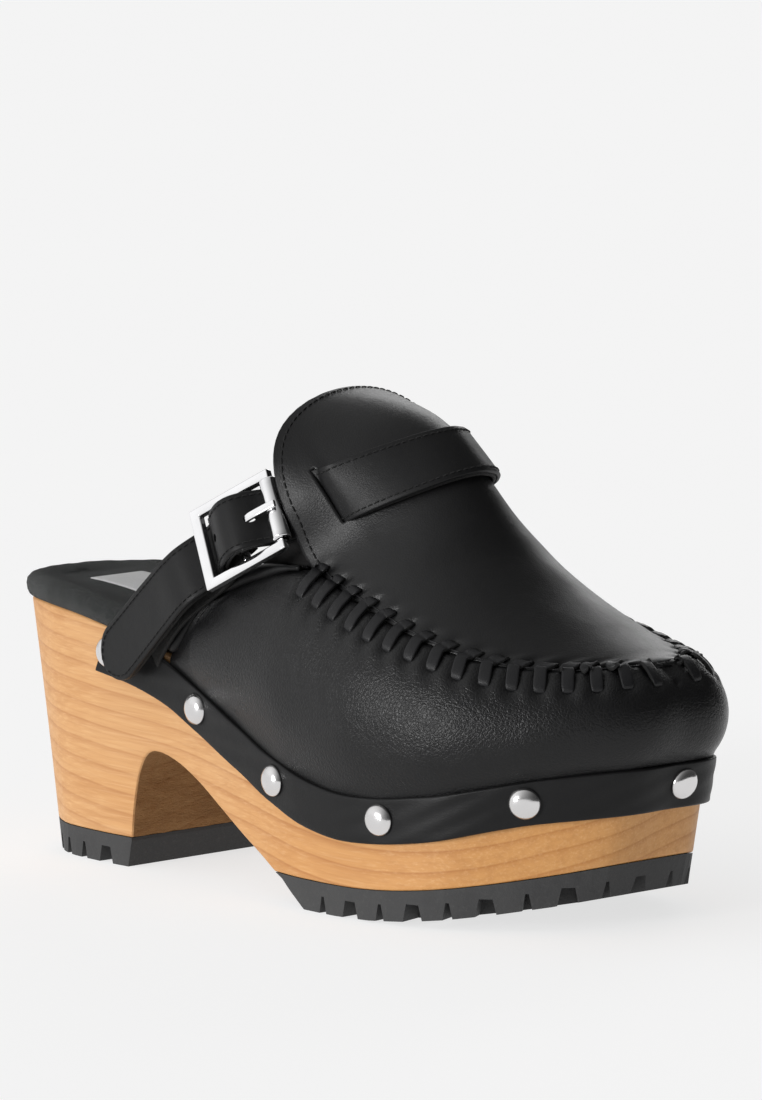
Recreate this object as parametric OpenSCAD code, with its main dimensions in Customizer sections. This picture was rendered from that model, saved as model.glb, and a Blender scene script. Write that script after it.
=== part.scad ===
// Platform clog for the right foot: a one-piece wooden sole with rubber lifts, a nailed leather
// upper with a whip-stitched toe seam, and an instep strap that closes with a roller buckle.
// X runs from heel to toe, Y towards the inner side of the foot, and Z up from the ground.

/* [Sole] */
// Thickness of the rubber lifts under the heel and the forefoot
rubber_t = 9; // [8:0.5:10]
// Depth of the notches cut round the edge of the rubber lifts
lug_depth = 5; // [3.5:0.5:5.5]
// Distance between neighbouring notches, measured along the sole's edge
lug_pitch = 13.7; // [12:0.1:16]
// Thickness of the foam footbed
foam_t = 3.5; // [2.5:0.5:4.5]
// Thickness of the suede sock that covers the footbed
sock_t = 1.5; // [1:0.1:2]

/* [Upper leather] */
// Thickness of the outer leather of the vamp and the apron
leather_t = 1.2; // [1:0.1:1.2]
// Thickness of the lining leather
lining_t = 0.8; // [0.6:0.1:0.9]
// How far the side wall swells out past the edge of the sole
wall_swell = 11; // [8:0.5:12]
// Height of the leather band that is nailed round the edge of the sole
band_h = 14; // [12:0.5:15]

/* [Fasteners] */
// Diameter of the domed heads of the studs
stud_d = 9.6; // [8:0.2:10.4]
// Height of the domed heads of the studs
stud_h = 2.4; // [1.8:0.1:2.6]
// Length of the studs' shanks inside the wood
stud_grip = 9; // [7:0.5:11]

/* [Strap and buckle] */
// Width of the instep strap
strap_w = 18; // [16:0.5:18.5]
// Thickness of each of the strap's two layers
ply_t = 1.3; // [1.1:0.1:1.3]
// Width of the opening of the buckle frame
opening_w = 20.5; // [20:0.1:21]
// Diameter of the bars that carry the roller and the prong
bar_d = 2.8; // [2.6:0.1:2.8]
// Outer diameter of the roller
roller_d = 5.2; // [4.8:0.1:5.2]

/* [Hidden] */

gap = 0.05;             // glue line or seam between two layers that lie on each other
nudge = 0.01;           // overlap that makes a cut pass cleanly through a face
pin_play = 0.05;        // radial clearance of the pins in their bores
smooth = 48;            // sides drawn on round parts

// The origin lies on the ground under the middle of the object
ORIGIN = [125.926, 1.892, 0];

// Edge of the sole's top face, anticlockwise from the middle of the heel's back: the outer side
// of the foot, the toe in the middle of the list, and the inner side
EDGE = [
    [0, 0], [4, -18], [23, -30], [49, -34], [86, -34.5], [120, -39], [150, -44], [181, -44.5],
    [208, -37.5], [231, -21.5], [245.5, -4], [247.5, 12.5], [246, 28], [232, 41], [210, 48],
    [180, 48], [150, 43], [115, 34], [80, 29], [50, 29.5], [22, 27], [5, 16]
];
TURN = len(EDGE);
TOE = TURN / 2;

// Side view of the sole: its top face, and the underside that springs up towards the toe
TOP_LINE = [
    [-30, 75.5], [0, 75.5], [25, 76], [50, 73.5], [80, 67], [110, 55.5], [140, 44], [170, 37.5],
    [200, 39.5], [230, 46], [250, 49], [270, 50]
];
GROUND_LINE = [
    [-60, 0], [0, 0], [60, 0], [120, 0], [150, 0], [180, 0.5], [205, 3], [230, 7.8], [250, 13.3]
];
// The arch cut out of the wood between the heel and the forefoot
ARCH = [
    [64.4, 4], [65.2, 12], [66.6, 21], [69, 30], [73, 35.8], [79, 36.6], [88, 34.2], [98, 29.6],
    [108, 24], [120, 17.5], [133, 11], [145, 4.6]
];
draft_long = tan(14.7); // lean of the heel's back and the toe
draft_side = tan(1.5);  // lean of the sides

// Height and inset of the top of the side wall, counted in stations from the toe to the end of
// the seam, and then along the topline to the wall's rear end
WALL_TOP = [[4, 76], [4, 76.5], [4.5, 75.5], [5.5, 77], [7.5, 82], [9.5, 89.5], [10.5, 98]];
TOPLINE = [[10.5, 98], [8, 96.5], [5, 92], [2, 85.5], [-0.5, 71]];
// The ridge of the apron and the tongue, as distance from the heel and height
RIDGE = [
    [244, 76], [242.5, 78], [236, 80], [222.5, 86], [206, 96.5], [190.5, 111], [176, 130],
    [156, 143], [127, 148.5]
];
// The tongue's edge past the seam, as distance from the heel, half width and height
TONGUE_EDGE = [[136, 35, 114], [124.5, 39, 131.5]];
SEAM_END = 6;
TIP = 8;

// The studs along the edge, as lengths round the sole from the heel's back, and their drop
// below the top face
STUDS = [78, 119, 160.5, 206.5, 251.5, 301, 346, 392, 436, 476];
stud_drop = 6.7;
strap_stud_at = 497;    // the stud that also holds the strap's inner end
TACKS = [98, 139, 183, 229, 276, 324, 369, 414, 456];
tack_drop = 6;

// The buckle's centre and its axes: along the strap, across it, and outwards
BUCKLE = [120.6, -39.2, 108.6];
ALONG = unit([0.8316, 0.2605, 0.4886]);
UPWARD = [-0.5434, 0.2185, 0.8098];
ACROSS = unit(UPWARD - ALONG * (ALONG * UPWARD));
OUTWARD = cross(ALONG, ACROSS);
bar_reach = 13.7;       // from the centre bar to the front bar and to the rear bar

// ---- curves ----

function unit(v) = v / norm(v);
function bend(a, b, c, d, f) =
    0.5 * (2 * b + (c - a) * f + (2 * a - 5 * b + 4 * c - d) * f * f
           + (3 * b - a - 3 * c + d) * f * f * f);
function wrap(i, n) = (i % n + n) % n;
// A smooth curve through the points p, open or closed, at t counted in points
function spline(p, t) =
    let (n = len(p), i = max(0, min(floor(t), n - 2)))
    bend(p[max(i - 1, 0)], p[i], p[i + 1], p[min(i + 2, n - 1)], t - i);
function loop_spline(p, t) =
    let (n = len(p), i = floor(t))
    bend(p[wrap(i - 1, n)], p[wrap(i, n)], p[wrap(i + 1, n)], p[wrap(i + 2, n)], t - i);
function bezier(a, b, c, d, f) =
    let (g = 1 - f)
    g * g * g * a + 3 * g * g * f * b + 3 * g * f * f * c + f * f * f * d;
function steps(a, b, n) = [for (i = [0:n]) a + (b - a) * i / n];
function dense(p, n) = [for (t = steps(0, len(p) - 1, n)) spline(p, t)];

TOP_TABLE = dense(TOP_LINE, 110);
GROUND_TABLE = [for (p = dense(GROUND_LINE, 80)) [p[0], max(0, p[1])]];
function top_z(x) = lookup(x, TOP_TABLE);
function ground_z(x) = lookup(x, GROUND_TABLE);

// ---- the sole's edge ----

function edge_at(t) = loop_spline(EDGE, t);
function edge_normal(t) =
    let (d = edge_at(t + 0.02) - edge_at(t - 0.02))
    unit([d[1], -d[0]]);
EDGE_LENGTHS = [
    for (i = 0, s = 0; i <= TURN * 10; s = s + norm(edge_at((i + 1) / 10) - edge_at(i / 10)),
         i = i + 1) [s, i / 10]
];
function edge_param(s) = lookup(s, EDGE_LENGTHS);

// A point on the sole's leaning side, drop below the top face and out from the wood
function side_at(t, drop, out) =
    let (p = edge_at(t), n = edge_normal(t))
    [p[0] + n[0] * (out - drop * draft_long), p[1] + n[1] * (out - drop * draft_side),
     top_z(p[0]) - drop];
function drop_to(t, lift, guess) =
    let (x = side_at(t, guess, 0)[0])
    top_z(edge_at(t)[0]) - ground_z(x) - lift;
// The same, at a height lift above the underside
function side_above(t, lift, out) =
    let (d = drop_to(t, lift, drop_to(t, lift, drop_to(t, lift, 40))))
    side_at(t, d, out);

// Places its children on the sole's side, with +Z pointing straight out of it
module on_side(t, drop, out) {
    n = edge_normal(t);
    x = [-n[1], n[0], 0];
    z = unit(cross([-n[0] * draft_long, -n[1] * draft_side, -1], x));
    y = cross(z, x);
    p = side_at(t, drop, out);
    multmatrix([[x[0], y[0], z[0], p[0]], [x[1], y[1], z[1], p[1]], [x[2], y[2], z[2], p[2]]])
        children();
}

// ---- closed solids from grids of points ----

function quad(a, b, c, d) = [[a, b, c], [a, c, d]];
// Rings of the same number of points, from the bottom up, closed by a strip across each end
module loft(rings) {
    n = len(rings[0]);
    top = (len(rings) - 1) * n;
    points = [for (r = rings) each r];
    sides = [
        for (i = [0:len(rings) - 2]) for (j = [0:n - 1])
            each quad(i * n + j, (i + 1) * n + j, (i + 1) * n + (j + 1) % n, i * n + (j + 1) % n)
    ];
    bottom_cap = [
        for (j = [0:n / 2 - 1]) each concat(
            [[j, j + 1, n - j - 1]],
            j > 0 ? [[j, n - j - 1, n - j]] : [])
    ];
    bottom_clean = [for (f = bottom_cap) if (f[1] != f[2]) f];
    top_clean = [for (f = bottom_clean) [top + f[0], top + f[2], top + f[1]]];
    polyhedron(points, concat(sides, bottom_clean, top_clean));
}

// Two grids of points that lie over each other, closed round their edge
module sheet(outer, inner) {
    rows = len(outer);
    cols = len(outer[0]);
    k = rows * cols;
    points = concat([for (r = outer) each r], [for (r = inner) each r]);
    faces = [
        for (i = [0:rows - 2]) for (j = [0:cols - 2])
            let (a = i * cols + j, b = a + 1, c = a + cols + 1, d = a + cols)
            each concat(quad(a, b, c, d), quad(k + d, k + c, k + b, k + a))
    ];
    ends = [
        for (i = [0:rows - 2])
            let (a = i * cols, b = a + cols, c = a + cols - 1, d = c + cols)
            each concat(quad(k + a, a, b, k + b), quad(c, k + c, k + d, d))
    ];
    flanks = [
        for (j = [0:cols - 2])
            let (a = j, b = j + 1, c = (rows - 1) * cols + j, d = c + 1)
            each concat(quad(a, k + a, k + b, b), quad(k + c, c, d, k + d))
    ];
    polyhedron(points, concat(faces, ends, flanks));
}

function clamp_i(i, n) = max(0, min(i, n - 1));
// The outward unit normal of a grid at row i and column j
function grid_normal(g, i, j) =
    let (r = len(g), c = len(g[0]),
         u = g[clamp_i(i + 1, r)][j] - g[clamp_i(i - 1, r)][j],
         v = g[i][clamp_i(j + 1, c)] - g[i][clamp_i(j - 1, c)])
    unit(cross(u, v));
function shifted(g, normals, d) =
    [for (i = [0:len(g) - 1]) [for (j = [0:len(g[0]) - 1]) g[i][j] + normals[i][j] * d]];
function normals_of(g) =
    [for (i = [0:len(g) - 1]) [for (j = [0:len(g[0]) - 1]) grid_normal(g, i, j)]];
function part_of(g, r0, r1, c0, c1) = [for (i = [r0:r1]) [for (j = [c0:c1]) g[i][j]]];

// A bar with a flat rectangular section that follows a list of [centre, direction of its width]
function strip_normal(route, i) =
    let (n = len(route), d = route[clamp_i(i + 1, n)][0] - route[clamp_i(i - 1, n)][0])
    unit(cross(route[i][1], d));
// The share of its full width that a strip has at a distance from its rounded first end
function end_share(d, r) = sqrt(max(0.08, 1 - pow(max(0, 1 - d / r), 2)));
function strip_face(route, w, out, round_r) = [
    for (i = [0:len(route) - 1])
        let (c = route[i][0] + strip_normal(route, i) * out,
             h = route[i][1] * w / 2 * end_share(norm(route[i][0] - route[0][0]), round_r))
        [c + h, c - h]
];
module strip(route, w, lo, hi, round_r = nudge) {
    sheet(strip_face(route, w, hi, round_r), strip_face(route, w, lo, round_r));
}
function route_through(stops, ts) = [
    for (t = ts)
        [spline([for (s = stops) s[0]], t), unit(spline([for (s = stops) s[1]], t))]
];

// ---- the upper's surfaces ----

// Stations run from 0 at the toe to 8 at the rear; side is -1 on the outer side of the foot
function station_t(side, k) = TOE + side * 0.875 * k;
function top_of_wall(k) = k <= SEAM_END ? spline(WALL_TOP, k) : spline(TOPLINE, (k - SEAM_END) * 2);
function wall_end(side, k) =
    let (t = station_t(side, k), p = edge_at(t), n = edge_normal(t), w = top_of_wall(k))
    [p[0] - n[0] * w[0], p[1] - n[1] * w[0], w[1]];
SEAM_MID = (wall_end(-1, SEAM_END)[1] + wall_end(1, SEAM_END)[1]) / 2;
function edge_stops(side) = concat(
    [for (k = [0:SEAM_END]) wall_end(side, k)],
    [for (e = TONGUE_EDGE) [e[0], SEAM_MID + side * e[1], e[2]]]);
OUTER_EDGE = edge_stops(-1);
INNER_EDGE = edge_stops(1);
RIDGE_STOPS = [
    for (k = [0:TIP]) [RIDGE[k][0], (OUTER_EDGE[k][1] + INNER_EDGE[k][1]) / 2, RIDGE[k][1]]
];
// One rib of the apron, from the ridge at w = 0 to its edge at w = -1 or 1
function rib(s, r, w) =
    let (up = r - s)
    bezier(r, r - [0, up[1] * 0.45, 0], s + [up[0] * 0.45, up[1] * 0.16, up[2] * 0.45], s, w);
corner = 6.8;           // the station where the tongue's end starts to round off
function tongue_share(k) =
    k <= corner ? 1 : pow(max(0, 1 - pow((k - corner) / (TIP - corner), 2.6)), 1 / 2.6);
function apron_at(k, w) =
    rib(spline(w < 0 ? OUTER_EDGE : INNER_EDGE, k), spline(RIDGE_STOPS, k), abs(w));

// The side wall of the vamp, from the sole's edge at w = 0 up to its top at w = 1
function wall_at(t, w, out) =
    let (side = t < TOE ? -1 : 1, k = abs(t - TOE) / 0.875, p = edge_at(t), n = edge_normal(t),
         z = top_z(p[0]), e = wall_end(side, k), h = e[2] - z,
         swell = wall_swell * min(1, h / 27))
    bezier(
        [p[0] + n[0] * out, p[1] + n[1] * out, z],
        [p[0] + n[0] * swell, p[1] + n[1] * swell, z + 0.4 * h],
        [p[0] + n[0] * swell * 0.41, p[1] + n[1] * swell * 0.41, z + 0.92 * h],
        e, w);

seam_gap = 0.985;       // the leather pieces stop just short of the seam between them
wall_out = leather_t + gap;
wall_cols = 56;
wall_ts = steps(station_t(1, TIP), station_t(-1, TIP), wall_cols);
WALL = concat(
    [[for (t = wall_ts) side_at(t, 10.5, wall_out)]],
    [for (w = [0, 0.12, 0.28, 0.46, 0.64, 0.82, seam_gap]) [for (t = wall_ts) wall_at(t, w, wall_out)]]);
WALL_NORMALS = normals_of(WALL);
APRON_K = concat(steps(0.35, 5.6, 11), steps(5.8, 7.4, 8), [7.6, 7.8, 7.93, 7.985]);
HALF_W = [0.17, 0.34, 0.5, 0.6, 0.7, 0.74, 0.8, 0.88, seam_gap];
APRON_W = concat([for (i = [8:-1:0]) -HALF_W[i]], [0], HALF_W);
PLAIN = [for (w = APRON_W) [for (k = APRON_K) apron_at(k, w * tongue_share(k))]];
PLAIN_NORMALS = normals_of(PLAIN);
// The strap passes through two slits: inside them the tongue lies under it, outside them over it
SLIT_LIFT = [[0, 0], [0.5, 0], [0.6, -1], [0.7, -2.4], [0.74, 2.2], [0.8, 1.7], [0.88, 1.1], [1, 0.8]];
SLIT_FADE = [[5.6, 0], [6.2, 1], [7.4, 1], [7.8, 0]];
APRON = [
    for (i = [0:len(APRON_W) - 1]) [
        for (j = [0:len(APRON_K) - 1])
            PLAIN[i][j] + PLAIN_NORMALS[i][j]
                * lookup(abs(APRON_W[i]), SLIT_LIFT) * lookup(APRON_K[j], SLIT_FADE)
    ]
];

// ---- the strap ----

function buckle_point(a, b, c) = BUCKLE + ALONG * a + ACROSS * b + OUTWARD * c;
strap_half = ply_t + gap / 2;
strap_seat = wall_out + band_side() + 2 * gap + strap_half;
function band_side() = leather_t + gap;
// Stations of the strap's front and rear edges where it lies over the tongue
function strap_front_k(w) = 5.75 + 0.9 * w * w;
function strap_rear_k(w) = 6.5 + 1.2 * w * w;
function over_tongue(w, out) =
    let (f = apron_at(strap_front_k(w), w), r = apron_at(strap_rear_k(w), w), d = unit(f - r),
         c = apron_at((strap_front_k(w) + strap_rear_k(w)) / 2, w),
         e = apron_at((strap_front_k(w) + strap_rear_k(w)) / 2, w + 0.02) - c)
    [c + unit(cross(d, e)) * out, d];
TAIL_STOPS = [
    [[64.5, -41.2, 62], [0.66, -0.06, -0.75]], [[77, -42.6, 72.5], [0.65, -0.08, -0.755]],
    [[90, -44.2, 83.5], [0.63, -0.12, -0.77]], [[101, -44.8, 92.6], [0.6, -0.16, -0.785]],
    [buckle_point(-bar_reach, 0, -3.9), -ACROSS], [buckle_point(-7, 0, 0.4), -ACROSS],
    [buckle_point(-1, 0, 4.6), -ACROSS], [buckle_point(5, 0, 2.4), -ACROSS],
    [buckle_point(bar_reach, 0, -6.1), -ACROSS], [buckle_point(18.4, 0, -6.2), -ACROSS]
];
OVER_W = [-0.85, -0.74, -0.64, -0.5, -0.34, -0.17, 0, 0.17, 0.34, 0.5, 0.64, 0.74, 0.85, 0.97];
// Height of the strap's middle over the tongue's plain surface: it sinks through the slits
STRAP_LIFT = [[0, 1.75], [0.5, 1.6], [0.64, 0.5], [0.74, -1.3], [0.85, -3], [0.97, -3.6]];
function over_stops(ws) = [for (w = ws) over_tongue(w, lookup(abs(w), STRAP_LIFT))];
strap_stud_t = edge_param(strap_stud_at);
END_STOPS = [
    [[118, 38.5, 101], [0.6, 0.12, -0.79]], [[102, 40.5, 88], [0.64, 0.08, -0.76]],
    [[86, 36.6, 74], [0.66, 0.03, -0.75]],
    [side_at(strap_stud_t, stud_drop, strap_seat), [0.66, 0, -0.75]],
    [side_at(strap_stud_t + 0.2, stud_drop + 5, strap_seat), [0.66, 0, -0.75]]
];
STRAP_STOPS = concat(TAIL_STOPS, over_stops(OVER_W), END_STOPS);
STRAP = route_through(STRAP_STOPS,
    concat([0, 0.04, 0.12, 0.25, 0.45, 0.7], steps(1, len(STRAP_STOPS) - 1, 70)));

// ---- sole ----

ring_step = 0.25;       // spacing of the rings' points, in points of the edge's outline
RING = [for (t = [0:ring_step:TURN - ring_step]) t];
function sole_ring(lift, out) = [for (t = RING) side_above(t, lift, out)];
function top_ring(up, out) = [for (t = RING) side_at(t, -up, out)];
module arch_cutter() {
    below = [[150, -20], [64, -20]];
    rotate([90, 0, 0])
        linear_extrude(160, center = true)
            polygon(concat(dense(ARCH, 33), below));
}
module stud_bores() {
    for (s = STUDS) stud_bore(edge_param(s));
    stud_bore(strap_stud_t);
}
module stud_bore(t) {
    on_side(t, stud_drop, -stud_grip - 1)
        cylinder(h = stud_grip + 12, r = 0.95, $fn = smooth);
}
module tack_bores() {
    for (s = TACKS) on_side(edge_param(s), tack_drop, -7)
        cylinder(h = 12, r = 0.6, $fn = smooth);
}
module wooden_sole() {
    color("burlywood") difference() {
        loft([sole_ring(rubber_t + gap, 0), top_ring(0, 0)]);
        arch_cutter();
        stud_bores();
        tack_bores();
        nail_row(HEEL_NAILS, 1);
        nail_row(SOLE_NAILS, 1);
    }
}

// ---- rubber lifts ----

module lug_cutter(t, wide) {
    n = edge_normal(t);
    p = side_above(t, 0, 0);
    angle = atan2(n[1], n[0]);
    mouth = wide ? 8.5 : 5;
    throat = wide ? 4 : 1;
    reach = 9;
    below = -5;
    translate(p)
        rotate([0, 0, angle])
            translate([-reach, 0, 0])
                rotate([90, 0, 90])
                    linear_extrude(reach + 8)
                        polygon([[-mouth / 2, below], [-throat / 2, lug_depth],
                                 [throat / 2, lug_depth], [mouth / 2, below]]);
}
module lift_side_view(points) {
    rotate([90, 0, 0]) linear_extrude(160, center = true) polygon(points);
}
module forefoot_outsole() {
    color("dimgray") difference() {
        intersection() {
            loft([sole_ring(-3, 0), sole_ring(rubber_t, 0)]);
            lift_side_view(concat(
                [[270, 60], [134, 60], [134, 10.4], [141, 7.6], [146, 4]],
                [for (x = [152, 166, 180, 192, 204, 216, 228, 240, 252, 270]) [x, ground_z(x)]]));
        }
        for (i = [0:25]) lug_cutter(edge_param(180 + i * lug_pitch * 0.92), i % 2 == 1);
        nail_row(SOLE_NAILS, 1);
    }
}
module heel_toplift() {
    color("dimgray") difference() {
        intersection() {
            loft([sole_ring(-3, 0), sole_ring(rubber_t, 0)]);
            lift_side_view([[-10, 0], [63, 0], [64.8, 8], [64.8, 20], [-10, 20]]);
        }
        for (s = [12, 24, 36, 48, 59, 71]) lug_cutter(edge_param(s), s == 71);
        for (s = [516, 528, 539, 551, 563, 575]) lug_cutter(edge_param(s), s == 516);
        nail_row(HEEL_NAILS, 1);
    }
}

// Nails that hold the lifts, as [x, y] places; their heads are sunk into the rubber
HEEL_NAILS = [[25, -14], [25, 14], [40, 0], [54, -16], [54, 14]];
SOLE_NAILS = [[165, -24], [165, 26], [185, 2], [205, -18], [205, 30], [225, 12]];
nail_len = 15;
nail_head = 2.4;
module nail_row(places, play) {
    for (p = places) translate([p[0], p[1], ground_z(p[0]) + 2.5]) {
        cylinder(h = nail_len, r = 0.9 + play * pin_play, $fn = smooth);
        if (play > 0) translate([0, 0, -8])
            cylinder(h = 9, r = nail_head + pin_play, $fn = smooth);
        else cylinder(h = 0.9, r = nail_head, $fn = smooth);
    }
}
module outsole_nails() { color("silver") nail_row(SOLE_NAILS, 0); }
module toplift_nails() { color("silver") nail_row(HEEL_NAILS, 0); }

// ---- footbed ----

// How far the footbed stops inside the sole's edge: over the edge at the heel, and inside the
// upper's lining in front
inset_front = 4.2;
function footbed_out(t, out) =
    let (x = edge_at(t)[0], f = max(0, min(1, (x - 66) / 18)))
    out - inset_front * f;
function footbed_ring(up, out) =
    [for (t = RING) side_at(t, -up, footbed_out(t, out))];
module footbed_foam() {
    color("beige")
        loft([footbed_ring(gap, -1.7), footbed_ring(gap + foam_t, -2)]);
}
module suede_sock() {
    lo = gap;
    mid = gap + foam_t;
    color("darkslategray") difference() {
        loft([footbed_ring(lo, 0.6), footbed_ring(mid, 0.9), footbed_ring(mid + sock_t, -0.6)]);
        loft([footbed_ring(-1, -1.6), footbed_ring(mid + gap, -1.9)]);
    }
}
module sock_label() {
    at = 38;
    color("gray")
        translate([at, -2, top_z(at) + gap + foam_t + sock_t + 0.15])
            rotate([0, 4, 0])
                translate([-14, -11, 0]) cube([28, 22, 0.4]);
}

// ---- upper ----

module vamp() {
    color("black") difference() {
        sheet(WALL, shifted(WALL, WALL_NORMALS, -leather_t));
        stud_bores();
        tack_bores();
        tack_heads(pin_play);
    }
}
lining_out = 1.9 + gap;
module vamp_lining() {
    rows = len(WALL) - 1;
    g = part_of(WALL, 1, rows, 0, wall_cols);
    n = part_of(WALL_NORMALS, 1, rows, 0, wall_cols);
    color("dimgray") translate([0, 0, gap])
        sheet(shifted(g, n, -lining_out), shifted(g, n, -lining_out - lining_t));
}
puff_start = 18;        // the wall's column where the toe stiffener starts
module toe_puff() {
    g = part_of(WALL, 2, 6, puff_start, wall_cols - puff_start);
    n = part_of(WALL_NORMALS, 2, 6, puff_start, wall_cols - puff_start);
    color("saddlebrown")
        sheet(shifted(g, n, -leather_t - gap), shifted(g, n, -lining_out + gap));
}
// A round roll of leather along a list of points
module roll(points, r) {
    n = len(points);
    rings = [
        for (i = [0:n - 1])
            let (d = unit(points[clamp_i(i + 1, n)] - points[clamp_i(i - 1, n)]),
                 x = unit(cross(d, [0, 0, 1])), y = cross(x, d))
            [for (j = [0:7]) points[i] + r * (x * cos(45 * j) - y * sin(45 * j))]
    ];
    loft(rings);
}
roll_r = 1.5;
module topline_roll() {
    color("black") for (side = [-1, 1])
        roll([for (k = steps(6.3, 7.95, 14)) wall_end(side, k) + [0, 0, roll_r + 0.5]], roll_r);
}
SLIT_K = steps(6.0, 7.4, 7);
module apron_slits() {
    for (side = [-1, 1]) {
        g = [for (w = [0.72 - 0.02 * side, 0.72 + 0.02 * side])
            [for (k = SLIT_K) apron_at(k, side * w * tongue_share(k))]];
        n = normals_of(g);
        sheet(shifted(g, n, 4), shifted(g, n, -4));
    }
}
module apron_tongue() {
    color("black") difference() {
        sheet(APRON, shifted(APRON, PLAIN_NORMALS, -leather_t));
        apron_slits();
    }
}
module apron_lining() {
    depth = leather_t + gap;
    g = part_of(APRON, 4, 14, 1, len(APRON_K) - 3);
    n = part_of(PLAIN_NORMALS, 4, 14, 1, len(APRON_K) - 3);
    color("dimgray") sheet(shifted(g, n, -depth), shifted(g, n, -depth - lining_t));
}

// Flat lace that whips over the seam in evenly spaced stitches, slanted like a helix
lace_w = 3.2;
lace_t = 1;
stitch_pitch = 7.4;
stitch_bite = 0.86;     // how far along the wall or the apron a stitch enters the leather
SEAM_LENGTHS = [
    for (i = 0, s = 0; i <= SEAM_END * 20;
         s = s + norm(wall_end(-1, (i + 1) / 20) - wall_end(-1, i / 20)), i = i + 1) [s, i / 20]
];
module lace_loop(a, m, b, half_width) {
    up = unit(cross(b - a, half_width));
    path = [a + up * 0.3, (a + m) / 2 + up * 1.6, m + up * 2, (b + m) / 2 + up * 1.8, b + up * 0.3];
    top = [for (p = path) [p - half_width, p + half_width]];
    low = [for (r = top) [for (p = r) p - up * lace_t]];
    sheet(top, low);
}
module lace_stitch(side, k) {
    along = unit(wall_end(side, k + 0.1) - wall_end(side, k - 0.1));
    lace_loop(
        wall_at(station_t(side, k), stitch_bite, wall_out), wall_end(side, k),
        apron_at(min(k + 0.2, SEAM_END), side * stitch_bite), along * side * -lace_w / 2);
}
module moc_lacing() {
    first = 12;
    last = SEAM_LENGTHS[len(SEAM_LENGTHS) - 1][0] - 2;
    color("black") {
        lace_loop(wall_at(TOE, stitch_bite, wall_out), wall_end(1, 0), apron_at(0.75, 0), [0, -lace_w / 2, 0]);
        for (side = [-1, 1]) for (d = [first:stitch_pitch:last])
            lace_stitch(side, lookup(d, SEAM_LENGTHS));
    }
}

// ---- band, studs and tacks ----

band_drop = 0.3;
module rand_band() {
    inner = [for (t = [3.5:ring_step:TURN - 3.5]) t];
    function row(drop, lead, out) =
        [for (t = concat([3.12 + lead], inner, [TURN - 3.12 - lead])) side_at(t, drop, out)];
    lo = wall_out + gap;
    hi = wall_out + band_side();
    rows = [[band_drop, 0.16], [band_h, 0]];
    color("black") difference() {
        sheet([for (r = rows) row(r[0], r[1], hi)], [for (r = rows) row(r[0], r[1], lo)]);
        stud_bores();
    }
}
module stud(t, out) {
    ball = (stud_d * stud_d / 4 + stud_h * stud_h) / (2 * stud_h);
    on_side(t, stud_drop, out) {
        intersection() {
            translate([0, 0, stud_h - ball]) sphere(r = ball, $fn = 2 * smooth);
            cylinder(h = stud_h + 1, r = stud_d / 2 + 1, $fn = smooth);
        }
        translate([0, 0, -stud_grip - out + 0.5])
            cylinder(h = stud_grip + out, r = 0.9, $fn = smooth);
    }
}
module dome_studs() {
    on_band = wall_out + band_side() + 2 * gap;
    color("silver") {
        for (s = STUDS) stud(edge_param(s), on_band);
        stud(strap_stud_t, strap_seat + strap_half + gap);
    }
}
tack_head_r = 1.3;
module tack_heads(play) {
    for (s = TACKS) on_side(edge_param(s), tack_drop, wall_out - 0.5 - play)
        cylinder(h = 0.45 + 4 * play, r = tack_head_r + play, $fn = smooth);
}
module lasting_tacks() {
    color("gray") {
        tack_heads(0);
        for (s = TACKS) on_side(edge_param(s), tack_drop, -6.5)
            cylinder(h = 6.5 + wall_out - 0.4, r = 0.5, $fn = smooth);
    }
}

// ---- instep strap ----

module buckle_space() {
    multmatrix([
        [ALONG[0], ACROSS[0], OUTWARD[0], BUCKLE[0]],
        [ALONG[1], ACROSS[1], OUTWARD[1], BUCKLE[1]],
        [ALONG[2], ACROSS[2], OUTWARD[2], BUCKLE[2]]
    ]) children();
}
hole_w = 3.4;
module prong_hole() {
    buckle_space() translate([-0.6, -hole_w / 2, -0.5]) cube([9.6, hole_w, 9]);
}
module strap_holes() {
    prong_hole();
    stud_bore(strap_stud_t);
}
module instep_strap() {
    color("black") difference() {
        strip(STRAP, strap_w, gap / 2, strap_half, strap_w / 2);
        strap_holes();
    }
}
module strap_lining() {
    color("dimgray") difference() {
        strip(STRAP, strap_w, -strap_half, -gap / 2, strap_w / 2);
        strap_holes();
    }
}

// ---- buckle ----

frame_t = 2.2;
side_bar_w = 3;
rear_bar_w = 3.4;
roller_play = 0.3;
bar_r = bar_d / 2;
knuckle_r = bar_r + 1.3;
module cross_bar(at, len, r) {
    translate([at, 0, 0]) rotate([90, 0, 0]) cylinder(h = len, r = r, center = true, $fn = smooth);
}
module buckle_frame() {
    half = opening_w / 2;
    color("gainsboro") buckle_space() {
        for (s = [-1, 1]) {
            translate([-bar_reach - rear_bar_w / 2, s * (half + side_bar_w / 2) - side_bar_w / 2, -frame_t / 2])
                cube([2 * bar_reach + rear_bar_w / 2, side_bar_w, frame_t]);
            translate([bar_reach, s * (half + side_bar_w / 2), 0]) rotate([90, 0, 0])
                cylinder(h = side_bar_w, r = 1.7, center = true, $fn = smooth);
        }
        translate([-bar_reach - rear_bar_w / 2, -half - nudge, -frame_t / 2])
            cube([rear_bar_w, opening_w + 2 * nudge, frame_t]);
        cross_bar(0, opening_w + 1, bar_r);
        cross_bar(bar_reach, opening_w + 1, bar_r);
    }
}
module buckle_roller() {
    color("gainsboro") buckle_space() difference() {
        cross_bar(bar_reach, opening_w - 2 * roller_play, roller_d / 2);
        cross_bar(bar_reach, opening_w, bar_r + pin_play);
    }
}
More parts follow.
